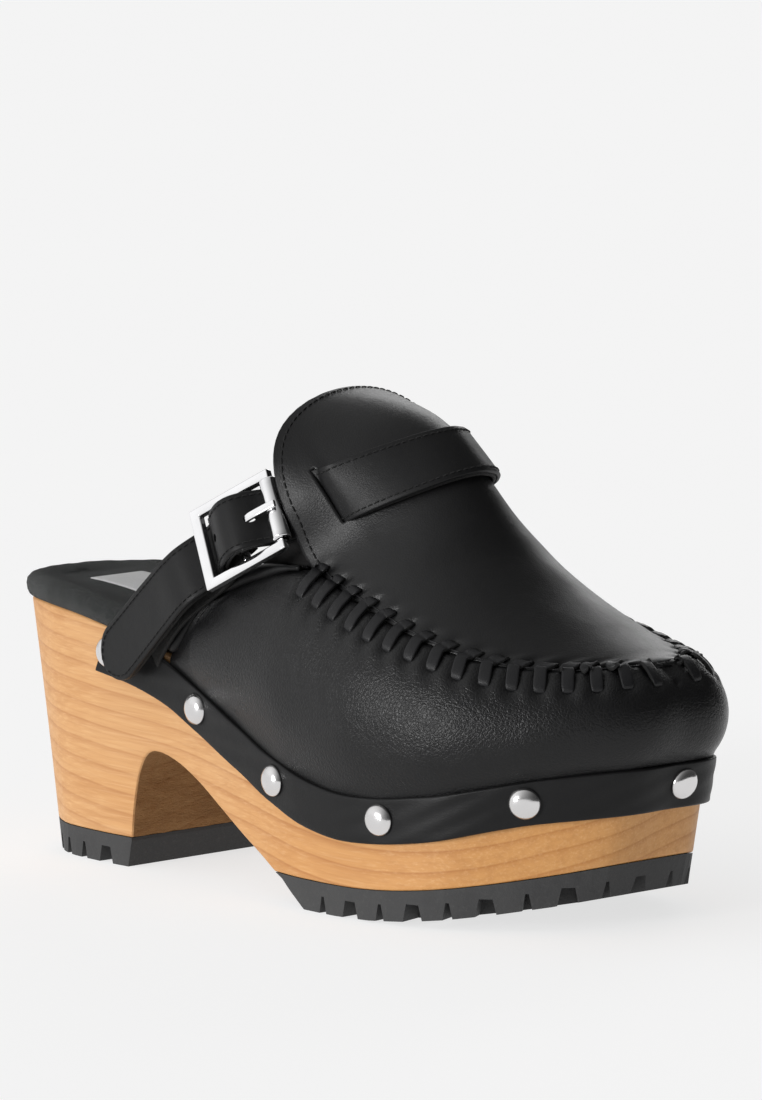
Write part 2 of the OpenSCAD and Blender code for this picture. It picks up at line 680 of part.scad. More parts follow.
module buckle_prong() {
    w = 2.4;
    eye = 2.5;
    color("gainsboro") buckle_space() difference() {
        union() {
            cross_bar(0, w, eye);
            rotate([90, 0, 0]) linear_extrude(w, center = true)
                polygon([[0, 2.4], [2.6, 3.6], [6, 4.7], [10, 5.2], [14.6, 5.1], [16.6, 4.3], [16.8, 3.6],
                         [15.6, 3.1], [10, 3.2], [6.4, 2.7], [3.6, 1.4], [1.8, 0]]);
        }
        cross_bar(0, opening_w, bar_r + pin_play);
    }
}

// Folded leather that holds the centre bar and runs under the band's rear end
chape_t = 1.1;
chape_w = 15;
CHAPE_STOPS = [
    [side_at(3.3, 8.5, gap + chape_t / 2), [0.66, 0, -0.75]],
    [side_at(3.62, 1.5, gap + chape_t / 2), [0.66, 0, -0.75]],
    [[78, -37.4, 75], [0.65, -0.08, -0.755]], [[92, -40, 87], [0.62, -0.14, -0.77]],
    [buckle_point(-bar_reach, 0, -6.4), -ACROSS], [buckle_point(-7, 0, -3.4), -ACROSS],
    [buckle_point(-2.5, 0, -2.2), -ACROSS], [buckle_point(0.3, 0, -2.1), -ACROSS]
];
module buckle_chape() {
    slot_w = 3.6;
    color("black") difference() {
        union() {
            strip(route_through(CHAPE_STOPS, steps(0, 7, 28)), chape_w, -chape_t / 2, chape_t / 2);
            buckle_space() cross_bar(0, chape_w, knuckle_r);
        }
        buckle_space() {
            cross_bar(0, opening_w, bar_r + 2 * pin_play);
            translate([-3.4, -slot_w / 2, -5]) cube([8, slot_w, 10]);
        }
        stud_bores();
    }
}

module placed() { translate(-ORIGIN) children(); }
placed() wooden_sole();
placed() forefoot_outsole();
placed() heel_toplift();
placed() outsole_nails();
placed() toplift_nails();
placed() footbed_foam();
placed() suede_sock();
placed() sock_label();
placed() vamp();
placed() vamp_lining();
placed() toe_puff();
placed() topline_roll();
placed() apron_tongue();
placed() apron_lining();
placed() moc_lacing();
placed() rand_band();
placed() dome_studs();
placed() lasting_tacks();
placed() instep_strap();
placed() strap_lining();
placed() buckle_chape();
placed() buckle_frame();
placed() buckle_roller();
placed() buckle_prong();
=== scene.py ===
import math

import bmesh
import bpy
import numpy as np
from mathutils import Matrix, Vector


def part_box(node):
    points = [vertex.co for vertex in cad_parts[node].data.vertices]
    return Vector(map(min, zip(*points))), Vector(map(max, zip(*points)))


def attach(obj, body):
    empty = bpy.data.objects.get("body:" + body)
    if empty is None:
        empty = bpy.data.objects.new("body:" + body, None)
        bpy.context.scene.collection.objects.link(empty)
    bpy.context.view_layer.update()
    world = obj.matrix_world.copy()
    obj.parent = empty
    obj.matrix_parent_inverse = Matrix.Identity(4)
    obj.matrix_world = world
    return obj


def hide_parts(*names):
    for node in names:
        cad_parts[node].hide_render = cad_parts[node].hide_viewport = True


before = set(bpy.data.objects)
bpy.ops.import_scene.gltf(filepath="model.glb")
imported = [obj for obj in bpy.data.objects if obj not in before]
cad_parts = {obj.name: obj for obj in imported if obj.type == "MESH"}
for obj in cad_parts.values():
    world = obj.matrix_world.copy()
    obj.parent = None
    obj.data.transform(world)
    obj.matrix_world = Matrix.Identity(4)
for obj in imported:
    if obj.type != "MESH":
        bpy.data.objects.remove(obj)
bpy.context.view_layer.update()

MM = 0.001

# ---------------------------------------------------------------------------
# The shoe's own curves, in millimetres from the back of the heel
# ---------------------------------------------------------------------------

EDGE = np.array([
    (0, 0), (4, -18), (23, -30), (49, -34), (86, -34.5), (120, -39), (150, -44), (181, -44.5),
    (208, -37.5), (231, -21.5), (245.5, -4), (247.5, 12.5), (246, 28), (232, 41), (210, 48),
    (180, 48), (150, 43), (115, 34), (80, 29), (50, 29.5), (22, 27), (5, 16)], float)
TURN = len(EDGE)
TOE = TURN / 2
TOP_LINE = np.array([(-30, 75.5), (0, 75.5), (25, 76), (50, 73.5), (80, 67), (110, 55.5), (140, 44),
                     (170, 37.5), (200, 39.5), (230, 46), (250, 49), (270, 50)], float)
GROUND_LINE = np.array([(-60, 0), (0, 0), (60, 0), (120, 0), (150, 0), (180, 0.5), (205, 3),
                        (230, 7.8), (250, 13.3)], float)
ARCH = np.array([(64.4, 4), (65.2, 12), (66.6, 21), (69, 30), (73, 35.8), (79, 36.6), (88, 34.2),
                 (98, 29.6), (108, 24), (120, 17.5), (133, 11), (145, 4.6)], float)
WALL_TOP = np.array([(4, 76), (4, 76.5), (4.5, 75.5), (5.5, 77), (7.5, 82), (9.5, 89.5), (10.5, 98)], float)
TOPLINE = np.array([(10.5, 98), (8, 96.5), (5, 92), (2, 84.5), (-0.5, 68.5)], float)
RIDGE = np.array([(244, 76), (242.5, 78), (236, 80), (222.5, 86), (206, 96.5), (190.5, 111),
                  (176, 130), (156, 143), (127, 148.5)], float)
TONGUE_EDGE = [(136, 35, 114), (124.5, 39, 131.5)]
SEAM_END = 6
TIP = 8
RUBBER_T = 9
DRAFT_LONG = math.tan(math.radians(14.7))
DRAFT_SIDE = math.tan(math.radians(1.5))
WALL_OUT = 1.25


def unit(v):
    v = np.asarray(v, float)
    return v / np.maximum(np.linalg.norm(v, axis=-1, keepdims=True), 1e-12)


def bend(a, b, c, d, f):
    return 0.5 * (2 * b + (c - a) * f + (2 * a - 5 * b + 4 * c - d) * f**2 + (3 * b - a - 3 * c + d) * f**3)


def spline(points, t):
    p, t = np.asarray(points, float), np.atleast_1d(np.asarray(t, float))
    n = len(p)
    i = np.clip(np.floor(t).astype(int), 0, n - 2)
    f = (t - i)[:, None]
    return bend(p[np.maximum(i - 1, 0)], p[i], p[i + 1], p[np.minimum(i + 2, n - 1)], f)


def loop_spline(points, t):
    p, t = np.asarray(points, float), np.atleast_1d(np.asarray(t, float))
    n = len(p)
    i = np.floor(t).astype(int)
    f = (t - i)[:, None]
    return bend(p[(i - 1) % n], p[i % n], p[(i + 1) % n], p[(i + 2) % n], f)


def table_of(line, steps):
    d = spline(line, np.linspace(0, len(line) - 1, steps + 1))
    return d[:, 0], d[:, 1]


TOP_X, TOP_Z = table_of(TOP_LINE, 110)
GROUND_X, GROUND_Z = table_of(GROUND_LINE, 80)
ARCH_X, ARCH_Z = table_of(ARCH, 132)


def top_z(x):
    return np.interp(x, TOP_X, TOP_Z)


def ground_z(x):
    return np.maximum(np.interp(x, GROUND_X, GROUND_Z), 0)


def wood_floor(x):
    """Height of the wood's underside: the rubber's top face, or the arch between heel and forefoot."""
    arch = np.interp(x, ARCH_X, ARCH_Z, left=0, right=0)
    return np.maximum(ground_z(x) + RUBBER_T + 0.06, arch)


def edge_at(t):
    return loop_spline(EDGE, t)


def edge_normal(t):
    t = np.atleast_1d(np.asarray(t, float))
    d = edge_at(t + 0.02) - edge_at(t - 0.02)
    return unit(np.stack([d[:, 1], -d[:, 0]], 1))


def side_at(t, drop, out):
    p, n = edge_at(t), edge_normal(t)
    return np.stack([p[:, 0] + n[:, 0] * (out - drop * DRAFT_LONG),
                     p[:, 1] + n[:, 1] * (out - drop * DRAFT_SIDE),
                     top_z(p[:, 0]) - drop], 1)


def side_normal(t):
    n = edge_normal(t)
    x = np.stack([-n[:, 1], n[:, 0], 0 * n[:, 0]], 1)
    down = np.stack([-n[:, 0] * DRAFT_LONG, -n[:, 1] * DRAFT_SIDE, -1 + 0 * n[:, 0]], 1)
    return unit(np.cross(down, x))


def path_length(points):
    return np.concatenate([[0], np.cumsum(np.linalg.norm(np.diff(points, axis=0), axis=1))])


FINE_T = np.linspace(0, TURN, 2201)
FINE_S = path_length(edge_at(FINE_T))


def edge_param(s):
    return np.interp(s, FINE_S, FINE_T)


def edge_length(t):
    return np.interp(t, FINE_T, FINE_S)


def station_t(side, k):
    return TOE + side * 0.875 * np.asarray(k, float)


def top_of_wall(k):
    k = np.atleast_1d(np.asarray(k, float))
    seam = spline(WALL_TOP, np.minimum(k, SEAM_END))
    rear = spline(TOPLINE, np.maximum(k - SEAM_END, 0) * 2)
    return np.where((k <= SEAM_END)[:, None], seam, rear)


def wall_end(side, k):
    k = np.atleast_1d(np.asarray(k, float))
    t = station_t(side, k)
    p, n, w = edge_at(t), edge_normal(t), top_of_wall(k)
    return np.stack([p[:, 0] - n[:, 0] * w[:, 0], p[:, 1] - n[:, 1] * w[:, 0], w[:, 1]], 1)


SEAM_MID = (wall_end(-1, SEAM_END)[0, 1] + wall_end(1, SEAM_END)[0, 1]) / 2
STOPS = {side: np.array([wall_end(side, k)[0] for k in range(SEAM_END + 1)]
                        + [(e[0], SEAM_MID + side * e[1], e[2]) for e in TONGUE_EDGE])
         for side in (-1, 1)}
RIDGE_STOPS = np.array([(RIDGE[k][0], (STOPS[-1][k][1] + STOPS[1][k][1]) / 2, RIDGE[k][1])
                        for k in range(TIP + 1)])


def bezier(a, b, c, d, f):
    g = 1 - f
    return g**3 * a + 3 * g * g * f * b + 3 * g * f * f * c + f**3 * d


def tongue_share(k, corner=6.8):
    k = np.asarray(k, float)
    u = np.clip((k - corner) / (TIP - corner), 0, 1)
    return np.maximum(1 - u**2.6, 0) ** (1 / 2.6)


def apron_at(k, w):
    """Points of the apron's outer face for arrays k and w of the same length."""
    k, w = np.broadcast_arrays(np.atleast_1d(np.asarray(k, float)), np.atleast_1d(np.asarray(w, float)))
    k, w = k.ravel(), w.ravel()
    s = np.where((w < 0)[:, None], spline(STOPS[-1], k), spline(STOPS[1], k))
    r = spline(RIDGE_STOPS, k)
    up = r - s
    zero = np.zeros(len(k))
    return bezier(r, r - np.stack([zero, up[:, 1] * 0.45, zero], 1),
                  s + up * np.array([0.45, 0.16, 0.45]), s, np.abs(w)[:, None])


def wall_at(t, w, out=WALL_OUT):
    t, w = np.broadcast_arrays(np.atleast_1d(np.asarray(t, float)), np.atleast_1d(np.asarray(w, float)))
    t, w = t.ravel(), w.ravel()
    k = np.abs(t - TOE) / 0.875
    p, n, top = edge_at(t), edge_normal(t), top_of_wall(k)
    z = top_z(p[:, 0])
    e = np.stack([p[:, 0] - n[:, 0] * top[:, 0], p[:, 1] - n[:, 1] * top[:, 0], top[:, 1]], 1)
    h = e[:, 2] - z
    swell = 11 * np.minimum(1, np.maximum(h, 0) / 27)

    def at(o, up):
        return np.stack([p[:, 0] + n[:, 0] * o, p[:, 1] + n[:, 1] * o, z + up * h], 1)
    return bezier(at(out, 0), at(swell, 0.4), at(swell * 0.41, 0.92), e, w[:, None])


# ---------------------------------------------------------------------------
# Placing: the shoe's curves in the frame's metres, found from the sole's box
# ---------------------------------------------------------------------------

sole_low, sole_high = (np.array(v, float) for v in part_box("wooden_sole"))
rim = edge_at(np.arange(0, TURN, 0.25))
SHIFT = np.array([sole_low[0] / MM - rim[:, 0].min(),
                  (sole_low[1] + sole_high[1]) / 2 / MM - (rim[:, 1].min() + rim[:, 1].max()) / 2, 0])


def metres(points):
    return (np.asarray(points, float) + SHIFT) * MM


# ---------------------------------------------------------------------------
# Mesh helpers
# ---------------------------------------------------------------------------

def grid_faces(rows, cols, wrap_cols=False, wrap_rows=False, first=0):
    i = np.arange(rows if wrap_rows else rows - 1)[:, None]
    j = np.arange(cols if wrap_cols else cols - 1)[None, :]
    a = first + i * cols + j
    b = first + i * cols + (j + 1) % cols
    c = first + (i + 1) % rows * cols + (j + 1) % cols
    d = first + (i + 1) % rows * cols + j
    return np.stack([a, b, c, d], -1).reshape(-1, 4).tolist()


def sheet_faces(grid):
    return [f[::-1] for f in grid_faces(*grid.shape[:2])]


def add_piece(name, points, faces, mat, body="shoe", slot="leather", replaces=(), sharp=35, sharp_on=True):
    mesh = bpy.data.meshes.new(name)
    mesh.from_pydata(metres(points).tolist(), [], faces)
    mesh.validate()
    mesh.update()
    mesh.polygons.foreach_set("use_smooth", [True] * len(mesh.polygons))
    if sharp_on:
        mesh.set_sharp_from_angle(angle=math.radians(sharp))
    obj = bpy.data.objects.new(name, mesh)
    bpy.context.scene.collection.objects.link(obj)
    mesh.materials.append(mat)
    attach(obj, body)
    if replaces:
        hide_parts(*replaces)
    return obj


def thicken(obj, thickness, offset=-1.0):
    solid = obj.modifiers.new("thickness", "SOLIDIFY")
    solid.thickness = thickness * MM
    solid.offset = offset
    solid.use_even_offset = False
    return obj


def apply_modifiers(obj):
    graph = bpy.context.evaluated_depsgraph_get()
    mesh = bpy.data.meshes.new_from_object(obj.evaluated_get(graph))
    obj.modifiers.clear()
    obj.data = mesh


def grid_normals(g):
    u, v = np.gradient(g, axis=0), np.gradient(g, axis=1)
    return unit(np.cross(u, v))


def sweep(path, hint, shape, scale=None, flat=False):
    """A closed section of (side, up) pairs swept along a path; a flat one narrows without thinning."""
    d = unit(np.gradient(path, axis=0))
    side = unit(np.cross(d, hint))
    up = np.cross(side, d)
    shape = np.asarray(shape, float)
    wide = np.ones((len(path), 1, 1)) if scale is None else scale[:, None, None]
    pts = (path[:, None, :] + side[:, None, :] * (shape[None, :, 0:1] * wide)
           + up[:, None, :] * (shape[None, :, 1:2] * (1 if flat else wide)))
    n = len(shape)
    faces = grid_faces(len(path), n, wrap_cols=True)
    return pts.reshape(-1, 3), faces + [list(range(n))[::-1], list(range((len(path) - 1) * n, len(path) * n))]


def spanned(outline, first, count, rows, across, place):
    """Points and faces between the two sides of a closed outline; place(points, i) shapes row i."""
    points, rings, n = [], [], len(outline)
    for i in range(rows):
        if i in (0, rows - 1):
            rings.append([first + i] * len(across))
            continue
        inner = outline[i] + (outline[n - i] - outline[i]) * across[1:-1, None]
        place(inner, i)
        points.append(inner)
        rings.append([first + i] + list(range(count, count + len(inner))) + [first + n - i])
        count += len(inner)
    faces = []
    for i in range(rows - 1):
        for j in range(len(across) - 1):
            quad = [rings[i][j], rings[i][j + 1], rings[i + 1][j + 1], rings[i + 1][j]]
            quad = [v for q, v in enumerate(quad) if v != quad[q - 1]]
            if len(set(quad)) > 2:
                faces.append(quad)
    return np.concatenate(points), faces


def fix_normals(obj):
    bm = bmesh.new()
    bm.from_mesh(obj.data)
    bmesh.ops.recalc_face_normals(bm, faces=bm.faces)
    bm.to_mesh(obj.data)
    bm.free()


def oval(a, b, n=12, power=2.0):
    u = np.linspace(0, 2 * math.pi, n, endpoint=False)
    c, s = np.cos(u), np.sin(u)
    e = 2 / power
    return np.stack([a * np.sign(c) * np.abs(c)**e, b * np.sign(s) * np.abs(s)**e], 1)


def joined(parts):
    points, faces = [], []
    for p, f in parts:
        base = sum(len(q) for q in points)
        points.append(np.asarray(p, float))
        faces += [[base + i for i in face] for face in f]
    return np.concatenate(points), faces


# ---------------------------------------------------------------------------
# Materials
# ---------------------------------------------------------------------------

class Nodes:
    """A short way to build one material's node tree."""

    def __init__(self, name):
        self.mat = bpy.data.materials.new(name)
        self.mat.use_nodes = True
        self.tree = self.mat.node_tree
        self.bsdf = self.tree.nodes["Principled BSDF"]
        self.coord = self.tree.nodes.new("ShaderNodeTexCoord").outputs["Object"]

    def node(self, kind, inputs=None, **props):
        n = self.tree.nodes.new(kind)
        for key, value in props.items():
            setattr(n, key, value)
        for key, value in (inputs or {}).items():
            if isinstance(value, bpy.types.NodeSocket):
                self.tree.links.new(value, n.inputs[key])
            else:
                n.inputs[key].default_value = value
        return n

    def scaled(self, x, y, z):
        return self.node("ShaderNodeMapping", {"Vector": self.coord, "Scale": (x, y, z)}).outputs[0]

    def noise(self, scale, detail=4.0, rough=0.55, vector=None, distortion=0.0):
        n = self.node("ShaderNodeTexNoise", {"Vector": vector or self.coord, "Scale": scale, "Detail": detail,
                                             "Roughness": rough, "Distortion": distortion})
        return n.outputs["Fac"]

    def cells(self, scale, feature="F1", vector=None, jitter=1.0):
        n = self.node("ShaderNodeTexVoronoi", {"Vector": vector or self.coord, "Scale": scale,
                                               "Randomness": jitter}, feature=feature)
        return n.outputs["Distance"]

    def math(self, op, a, b=0.0, c=0.0):
        return self.node("ShaderNodeMath", {0: a, 1: b, 2: c}, operation=op).outputs[0]

    def remap(self, value, low, high, to_low, to_high):
        return self.node("ShaderNodeMapRange", {"Value": value, "From Min": low, "From Max": high,
                                                "To Min": to_low, "To Max": to_high}).outputs[0]

    def ramp(self, value, stops, mode="LINEAR"):
        n = self.node("ShaderNodeValToRGB", {"Fac": value})
        n.color_ramp.interpolation = mode
        for i, (at, colour) in enumerate(stops):
            e = n.color_ramp.elements[i] if i < 2 else n.color_ramp.elements.new(at)
            e.position = at
            e.color = (*colour, 1)
        return n.outputs["Color"]

    def mix(self, fac, a, b, blend="MIX"):
        n = self.node("ShaderNodeMix", {0: fac}, data_type="RGBA", blend_type=blend)
        for i, v in ((6, a), (7, b)):
            if isinstance(v, bpy.types.NodeSocket):
                self.tree.links.new(v, n.inputs[i])
            else:
                n.inputs[i].default_value = (*v, 1)
        return n.outputs[2]

    def bump(self, height, strength, distance, under=None):
        inputs = {"Height": height, "Strength": strength, "Distance": distance}
        if under is not None:
            inputs["Normal"] = under
        return self.node("ShaderNodeBump", inputs).outputs[0]

    def set(self, **values):
        names = {"color": "Base Color", "rough": "Roughness", "metal": "Metallic", "normal": "Normal",
                 "coat": "Coat Weight", "coat_rough": "Coat Roughness", "spec": "Specular IOR Level",
                 "sheen": "Sheen Weight", "sheen_rough": "Sheen Roughness"}
        for key, value in values.items():
            socket = self.bsdf.inputs[names[key]]
            if isinstance(value, bpy.types.NodeSocket):
                self.tree.links.new(value, socket)
            elif isinstance(value, tuple):
                socket.default_value = (*value, 1)
            else:
                socket.default_value = value
        return self.mat


def leather(name, dark, light, rough, grain, grain_size, shine=0.26):
    m = Nodes(name)
    cloud = m.noise(38, 5, 0.6)
    fine = m.noise(520, 3, 0.6)
    tone = m.mix(cloud, dark, light)
    tone = m.mix(m.remap(fine, 0.35, 0.7, 0, 0.35), tone, light)
    swirl = m.node("ShaderNodeTexNoise", {"Vector": m.coord, "Scale": 160}).outputs["Color"]
    warp = m.node("ShaderNodeMix", {0: 0.0016, 4: m.coord, 5: swirl}, data_type="VECTOR").outputs[1]
    cell = m.cells(grain_size, "DISTANCE_TO_EDGE", warp)
    cell2 = m.cells(grain_size * 2.3, "DISTANCE_TO_EDGE", warp)
    creases = m.math("ADD", m.remap(cell, 0.0, 0.22, 0, 1), m.remap(cell2, 0, 0.25, 0, 0.5))
    normal = m.bump(creases, grain, 0.00022)
    normal = m.bump(m.noise(90, 3, 0.5), 0.22, 0.0009, normal)
    roughness = m.math("ADD", m.remap(cloud, 0.3, 0.7, rough - 0.05, rough + 0.06),
                       m.remap(cell, 0, 0.1, 0.075, 0))
    return m.set(color=tone, rough=roughness, normal=normal, spec=shine)


def wood(name, inner=False):
    m = Nodes(name)
    # growth rings: thin lines that fall gently from the heel and sweep up again round the toe
    wander = m.noise(7, 2, 0.45, m.scaled(0.45, 1.0, 1.2))
    wander2 = m.noise(40, 2, 0.5, m.scaled(0.12, 1.0, 1.0))
    sep = m.node("ShaderNodeSeparateXYZ", {0: m.coord}).outputs
    depth = m.math("ADD", sep[2], m.math("MULTIPLY", sep[0], 0.07))
    depth = m.math("ADD", depth, m.math("MULTIPLY", sep[1], -0.22))
    toe = m.math("MAXIMUM", m.math("SUBTRACT", sep[0], 0.03), 0.0)
    depth = m.math("SUBTRACT", depth, m.math("MULTIPLY", m.math("MULTIPLY", toe, toe), 0.75))
    depth = m.math("ADD", depth, m.math("MULTIPLY", wander, 0.016))
    depth = m.math("ADD", depth, m.math("MULTIPLY", wander2, 0.0022))
    thin = [(0.0, (0, 0, 0)), (0.62, (0.08, 0.08, 0.08)), (0.84, (0.55, 0.55, 0.55)),
            (0.92, (1, 1, 1)), (1.0, (0.0, 0.0, 0.0))]
    line = m.ramp(m.math("FRACT", m.math("MULTIPLY", depth, 170)), thin)
    faint = m.ramp(m.math("FRACT", m.math("MULTIPLY", depth, 455)), thin)
    fibre = m.noise(420, 4, 0.65, m.scaled(0.045, 1.0, 1.0))
    fibre2 = m.noise(1400, 3, 0.6, m.scaled(0.03, 1.0, 1.0))
    blotch = m.noise(16, 3, 0.5, m.scaled(0.5, 1, 1))
    light, base, deep = (0.61, 0.342, 0.150), (0.555, 0.272, 0.090), (0.32, 0.11, 0.025)
    tone = m.mix(m.remap(blotch, 0.3, 0.7, 0, 1), light, base)
    tone = m.mix(m.math("MULTIPLY", line, m.remap(sep[0], -0.03, 0.09, 0.40, 0.85)), tone, deep)
    tone = m.mix(m.math("MULTIPLY", faint, 0.13), tone, deep)
    tone = m.mix(m.remap(sep[0], 0.0, 0.125, 0, 0.5), tone, (0.62, 0.29, 0.075))
    tone = m.mix(m.remap(fibre, 0.45, 0.75, 0, 0.30), tone, deep)
    tone = m.mix(m.remap(fibre2, 0.5, 0.8, 0, 0.25), tone, (0.86, 0.58, 0.32))
    if inner:
        tone = m.mix(0.72, tone, (0.16, 0.075, 0.028))
        torn = m.noise(260, 5, 0.75, m.scaled(1, 0.25, 1))
        tone = m.mix(m.remap(torn, 0.4, 0.75, 0, 0.4), tone, (0.50, 0.28, 0.12))
    height = m.math("ADD", m.math("MULTIPLY", fibre, 0.7), m.math("MULTIPLY", line, 0.25))
    normal = m.bump(height, 0.5 if inner else 0.16, 0.0006)
    if inner:
        normal = m.bump(m.noise(700, 5, 0.8, m.scaled(1, 0.3, 1)), 0.9, 0.0012, normal)
    rough = m.remap(fibre, 0.3, 0.7, 0.44, 0.56) if not inner else m.remap(fibre, 0.3, 0.7, 0.75, 0.95)
    return m.set(color=tone, rough=rough, normal=normal, spec=0.4 if not inner else 0.15)


def rubber(name):
    m = Nodes(name)
    dust = m.noise(55, 6, 0.65)
    speck = m.noise(900, 4, 0.7)
    tone = m.mix(m.remap(dust, 0.3, 0.75, 0, 1), (0.032, 0.032, 0.033), (0.056, 0.056, 0.056))
    tone = m.mix(m.remap(speck, 0.55, 0.8, 0, 0.5), tone, (0.085, 0.084, 0.082))
    normal = m.bump(speck, 0.5, 0.0004, m.bump(dust, 0.3, 0.001))
    return m.set(color=tone, rough=m.remap(dust, 0.3, 0.7, 0.6, 0.78), normal=normal, spec=0.35)


def suede(name):
    m = Nodes(name)
    nap = m.noise(620, 6, 0.85)
    brushed = m.noise(120, 5, 0.7, m.scaled(0.5, 1.0, 1.0))
    tone = m.mix(m.remap(nap, 0.3, 0.72, 0, 1), (0.0012, 0.0022, 0.0019), (0.0135, 0.0165, 0.0155))
    tone = m.mix(m.remap(brushed, 0.45, 0.75, 0, 0.35), tone, (0.030, 0.036, 0.034))
    normal = m.bump(nap, 1.0, 0.0016, m.bump(brushed, 0.5, 0.002))
    return m.set(color=tone, rough=m.remap(nap, 0.3, 0.7, 0.88, 1.0), normal=normal, sheen=0.2,
                 sheen_rough=0.4, spec=0.2)


def metal(name, tone, rough, scratch):
    m = Nodes(name)
    smear = m.noise(60, 3, 0.6)
    fine = m.noise(1500, 3, 0.7, m.scaled(1, 0.15, 1))
    shade = m.mix(m.remap(smear, 0.35, 0.7, 0, 1), tone, tuple(0.9 * c for c in tone))
    roughness = m.remap(m.math("ADD", m.math("MULTIPLY", smear, 0.5), m.math("MULTIPLY", fine, 0.5)),
                        0.3, 0.7, rough * 0.75, rough * 1.3)
    return m.set(color=shade, metal=1.0, rough=roughness, normal=m.bump(fine, scratch, 0.0001))


def fabric(name, dark, light, pitch):
    m = Nodes(name)
    warp = m.node("ShaderNodeTexWave", {"Vector": m.coord, "Scale": pitch, "Distortion": 0.6},
                  bands_direction="X").outputs["Fac"]
    weft = m.node("ShaderNodeTexWave", {"Vector": m.coord, "Scale": pitch, "Distortion": 0.6},
                  bands_direction="Y").outputs["Fac"]
    weave = m.math("MULTIPLY", warp, weft)
    tone = m.mix(weave, dark, light)
    tone = m.mix(m.remap(m.noise(240, 4), 0.4, 0.7, 0, 0.4), tone, dark)
    return m.set(color=tone, rough=m.remap(weave, 0, 1, 0.75, 0.95), normal=m.bump(weave, 0.6, 0.0003))


MAT = {
    "wood": wood("wood_side"), "wood_inner": wood("wood_sawn", True), "rubber": rubber("rubber_black"),
    "grain": leather("leather_wall", (0.003, 0.003, 0.0033),
                     (0.008, 0.008, 0.0084), 0.30, 0.30, 820, shine=0.27),
    "smooth": leather("leather_apron", (0.004, 0.004, 0.0043),
                      (0.009, 0.009, 0.0094), 0.34, 0.14, 1150, shine=0.28),
    "matte": leather("leather_strap", (0.004, 0.004, 0.0043),
                     (0.009, 0.009, 0.0094), 0.40, 0.12, 1500, shine=0.20),
    "edge": leather("leather_cut_edge", (0.006, 0.006, 0.006), (0.014, 0.014, 0.0135), 0.62, 0.5, 1900),
    "lining": leather("leather_lining", (0.006, 0.006, 0.006), (0.013, 0.012, 0.012), 0.65, 0.2, 1400),
    "lace": leather("leather_lace", (0.006, 0.006, 0.0068),
                    (0.013, 0.013, 0.014), 0.34, 0.2, 1700, shine=0.26),
    "suede": suede("suede_sock"), "chrome": metal("chrome", (0.93, 0.93, 0.94), 0.10, 0.01),
    "satin": metal("satin_steel", (0.74, 0.73, 0.73), 0.17, 0.10),
    "dull": metal("dull_steel", (0.55, 0.54, 0.52), 0.35, 0.2),
    "thread": fabric("thread", (0.003, 0.003, 0.003), (0.012, 0.012, 0.012), 2600),
    "label": fabric("label_weave", (0.58, 0.58, 0.58), (0.80, 0.80, 0.80), 700),
    "foam": fabric("foam", (0.60, 0.56, 0.46), (0.75, 0.71, 0.60), 900),
    "stiff": fabric("stiffener", (0.30, 0.23, 0.15), (0.45, 0.36, 0.26), 800),
}


def dress(node, mat):
    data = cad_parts[node].data
    data.materials.clear()
    data.materials.append(MAT[mat])


# ---------------------------------------------------------------------------
# Wooden sole
# ---------------------------------------------------------------------------

RIM_R = 0.9
SAWN = (64, 142)


def side_bottom_drop(t):
    """Drop from the wood's top edge to its lower edge, at each t."""
    lo, hi = np.full(len(t), 3.0), np.full(len(t), 80.0)
    for _ in range(40):
        mid = (lo + hi) / 2
        p = side_at(t, mid, 0)
        above = p[:, 2] > wood_floor(p[:, 0])
        lo, hi = np.where(above, mid, lo), np.where(above, hi, mid)
    return lo


def outline_t(rear):
    """Both sides of the outline from the t values of one side, heel end first."""
    return np.concatenate([rear, (TURN - rear[1:-1])[::-1]])


def wooden_sole():
    near_arch = np.arange(3.40, 3.90, 0.0125)
    rear = np.concatenate([np.arange(0, 3.4, 0.05), near_arch, np.arange(3.9, TOE, 0.05), [TOE]])
    t = outline_t(rear)
    n, zero = len(t), 0 * t
    deep = side_bottom_drop(t)
    rows = [side_at(t, zero, zero - RIM_R), side_at(t, zero + 0.25, zero - 0.27),
            side_at(t, zero + RIM_R, zero)]
    for v in np.linspace(0, 1, 22)[1:-1]:
        rows.append(side_at(t, RIM_R + (deep - RIM_R - 0.7) * v, zero))
    rows += [side_at(t, deep - 0.7, zero), side_at(t, deep - 0.2, zero - 0.2), side_at(t, deep, zero - 0.7)]
    side = np.concatenate(rows)
    faces = grid_faces(len(rows), n, wrap_cols=True)
    across = np.linspace(0, 1, 15)

    def on(height):
        def place(inner, i):
            inner[:, 2] = height(inner[:, 0])
        return place
    low = (len(rows) - 1) * n
    under_points, under = spanned(side[low:], low, len(side), len(rear), across, on(wood_floor))
    top_points, top = spanned(side[:n], 0, len(side) + len(under_points), len(rear), across, on(top_z))
    first = len(faces)
    faces += under + [f[::-1] for f in top]
    points = np.concatenate([side, under_points, top_points])
    obj = add_piece("sole_block", points, faces, MAT["wood"], slot="wood", replaces=["wooden_sole"], sharp=60)
    obj.data.materials.append(MAT["wood_inner"])
    for i in range(first, first + len(under)):
        # the arch's underside is left sawn
        if SAWN[0] < points[faces[i], 0].mean() < SAWN[1]:
            obj.data.polygons[i].material_index = 1
    fix_normals(obj)


# ---------------------------------------------------------------------------
# Sock, label
# ---------------------------------------------------------------------------

def sock_out(t, out):
    """The sock lies over the wood's edge at the heel and tucks inside it under the upper."""
    return out - 4.2 * np.clip((edge_at(t)[:, 0] - 66) / 18, 0, 1)


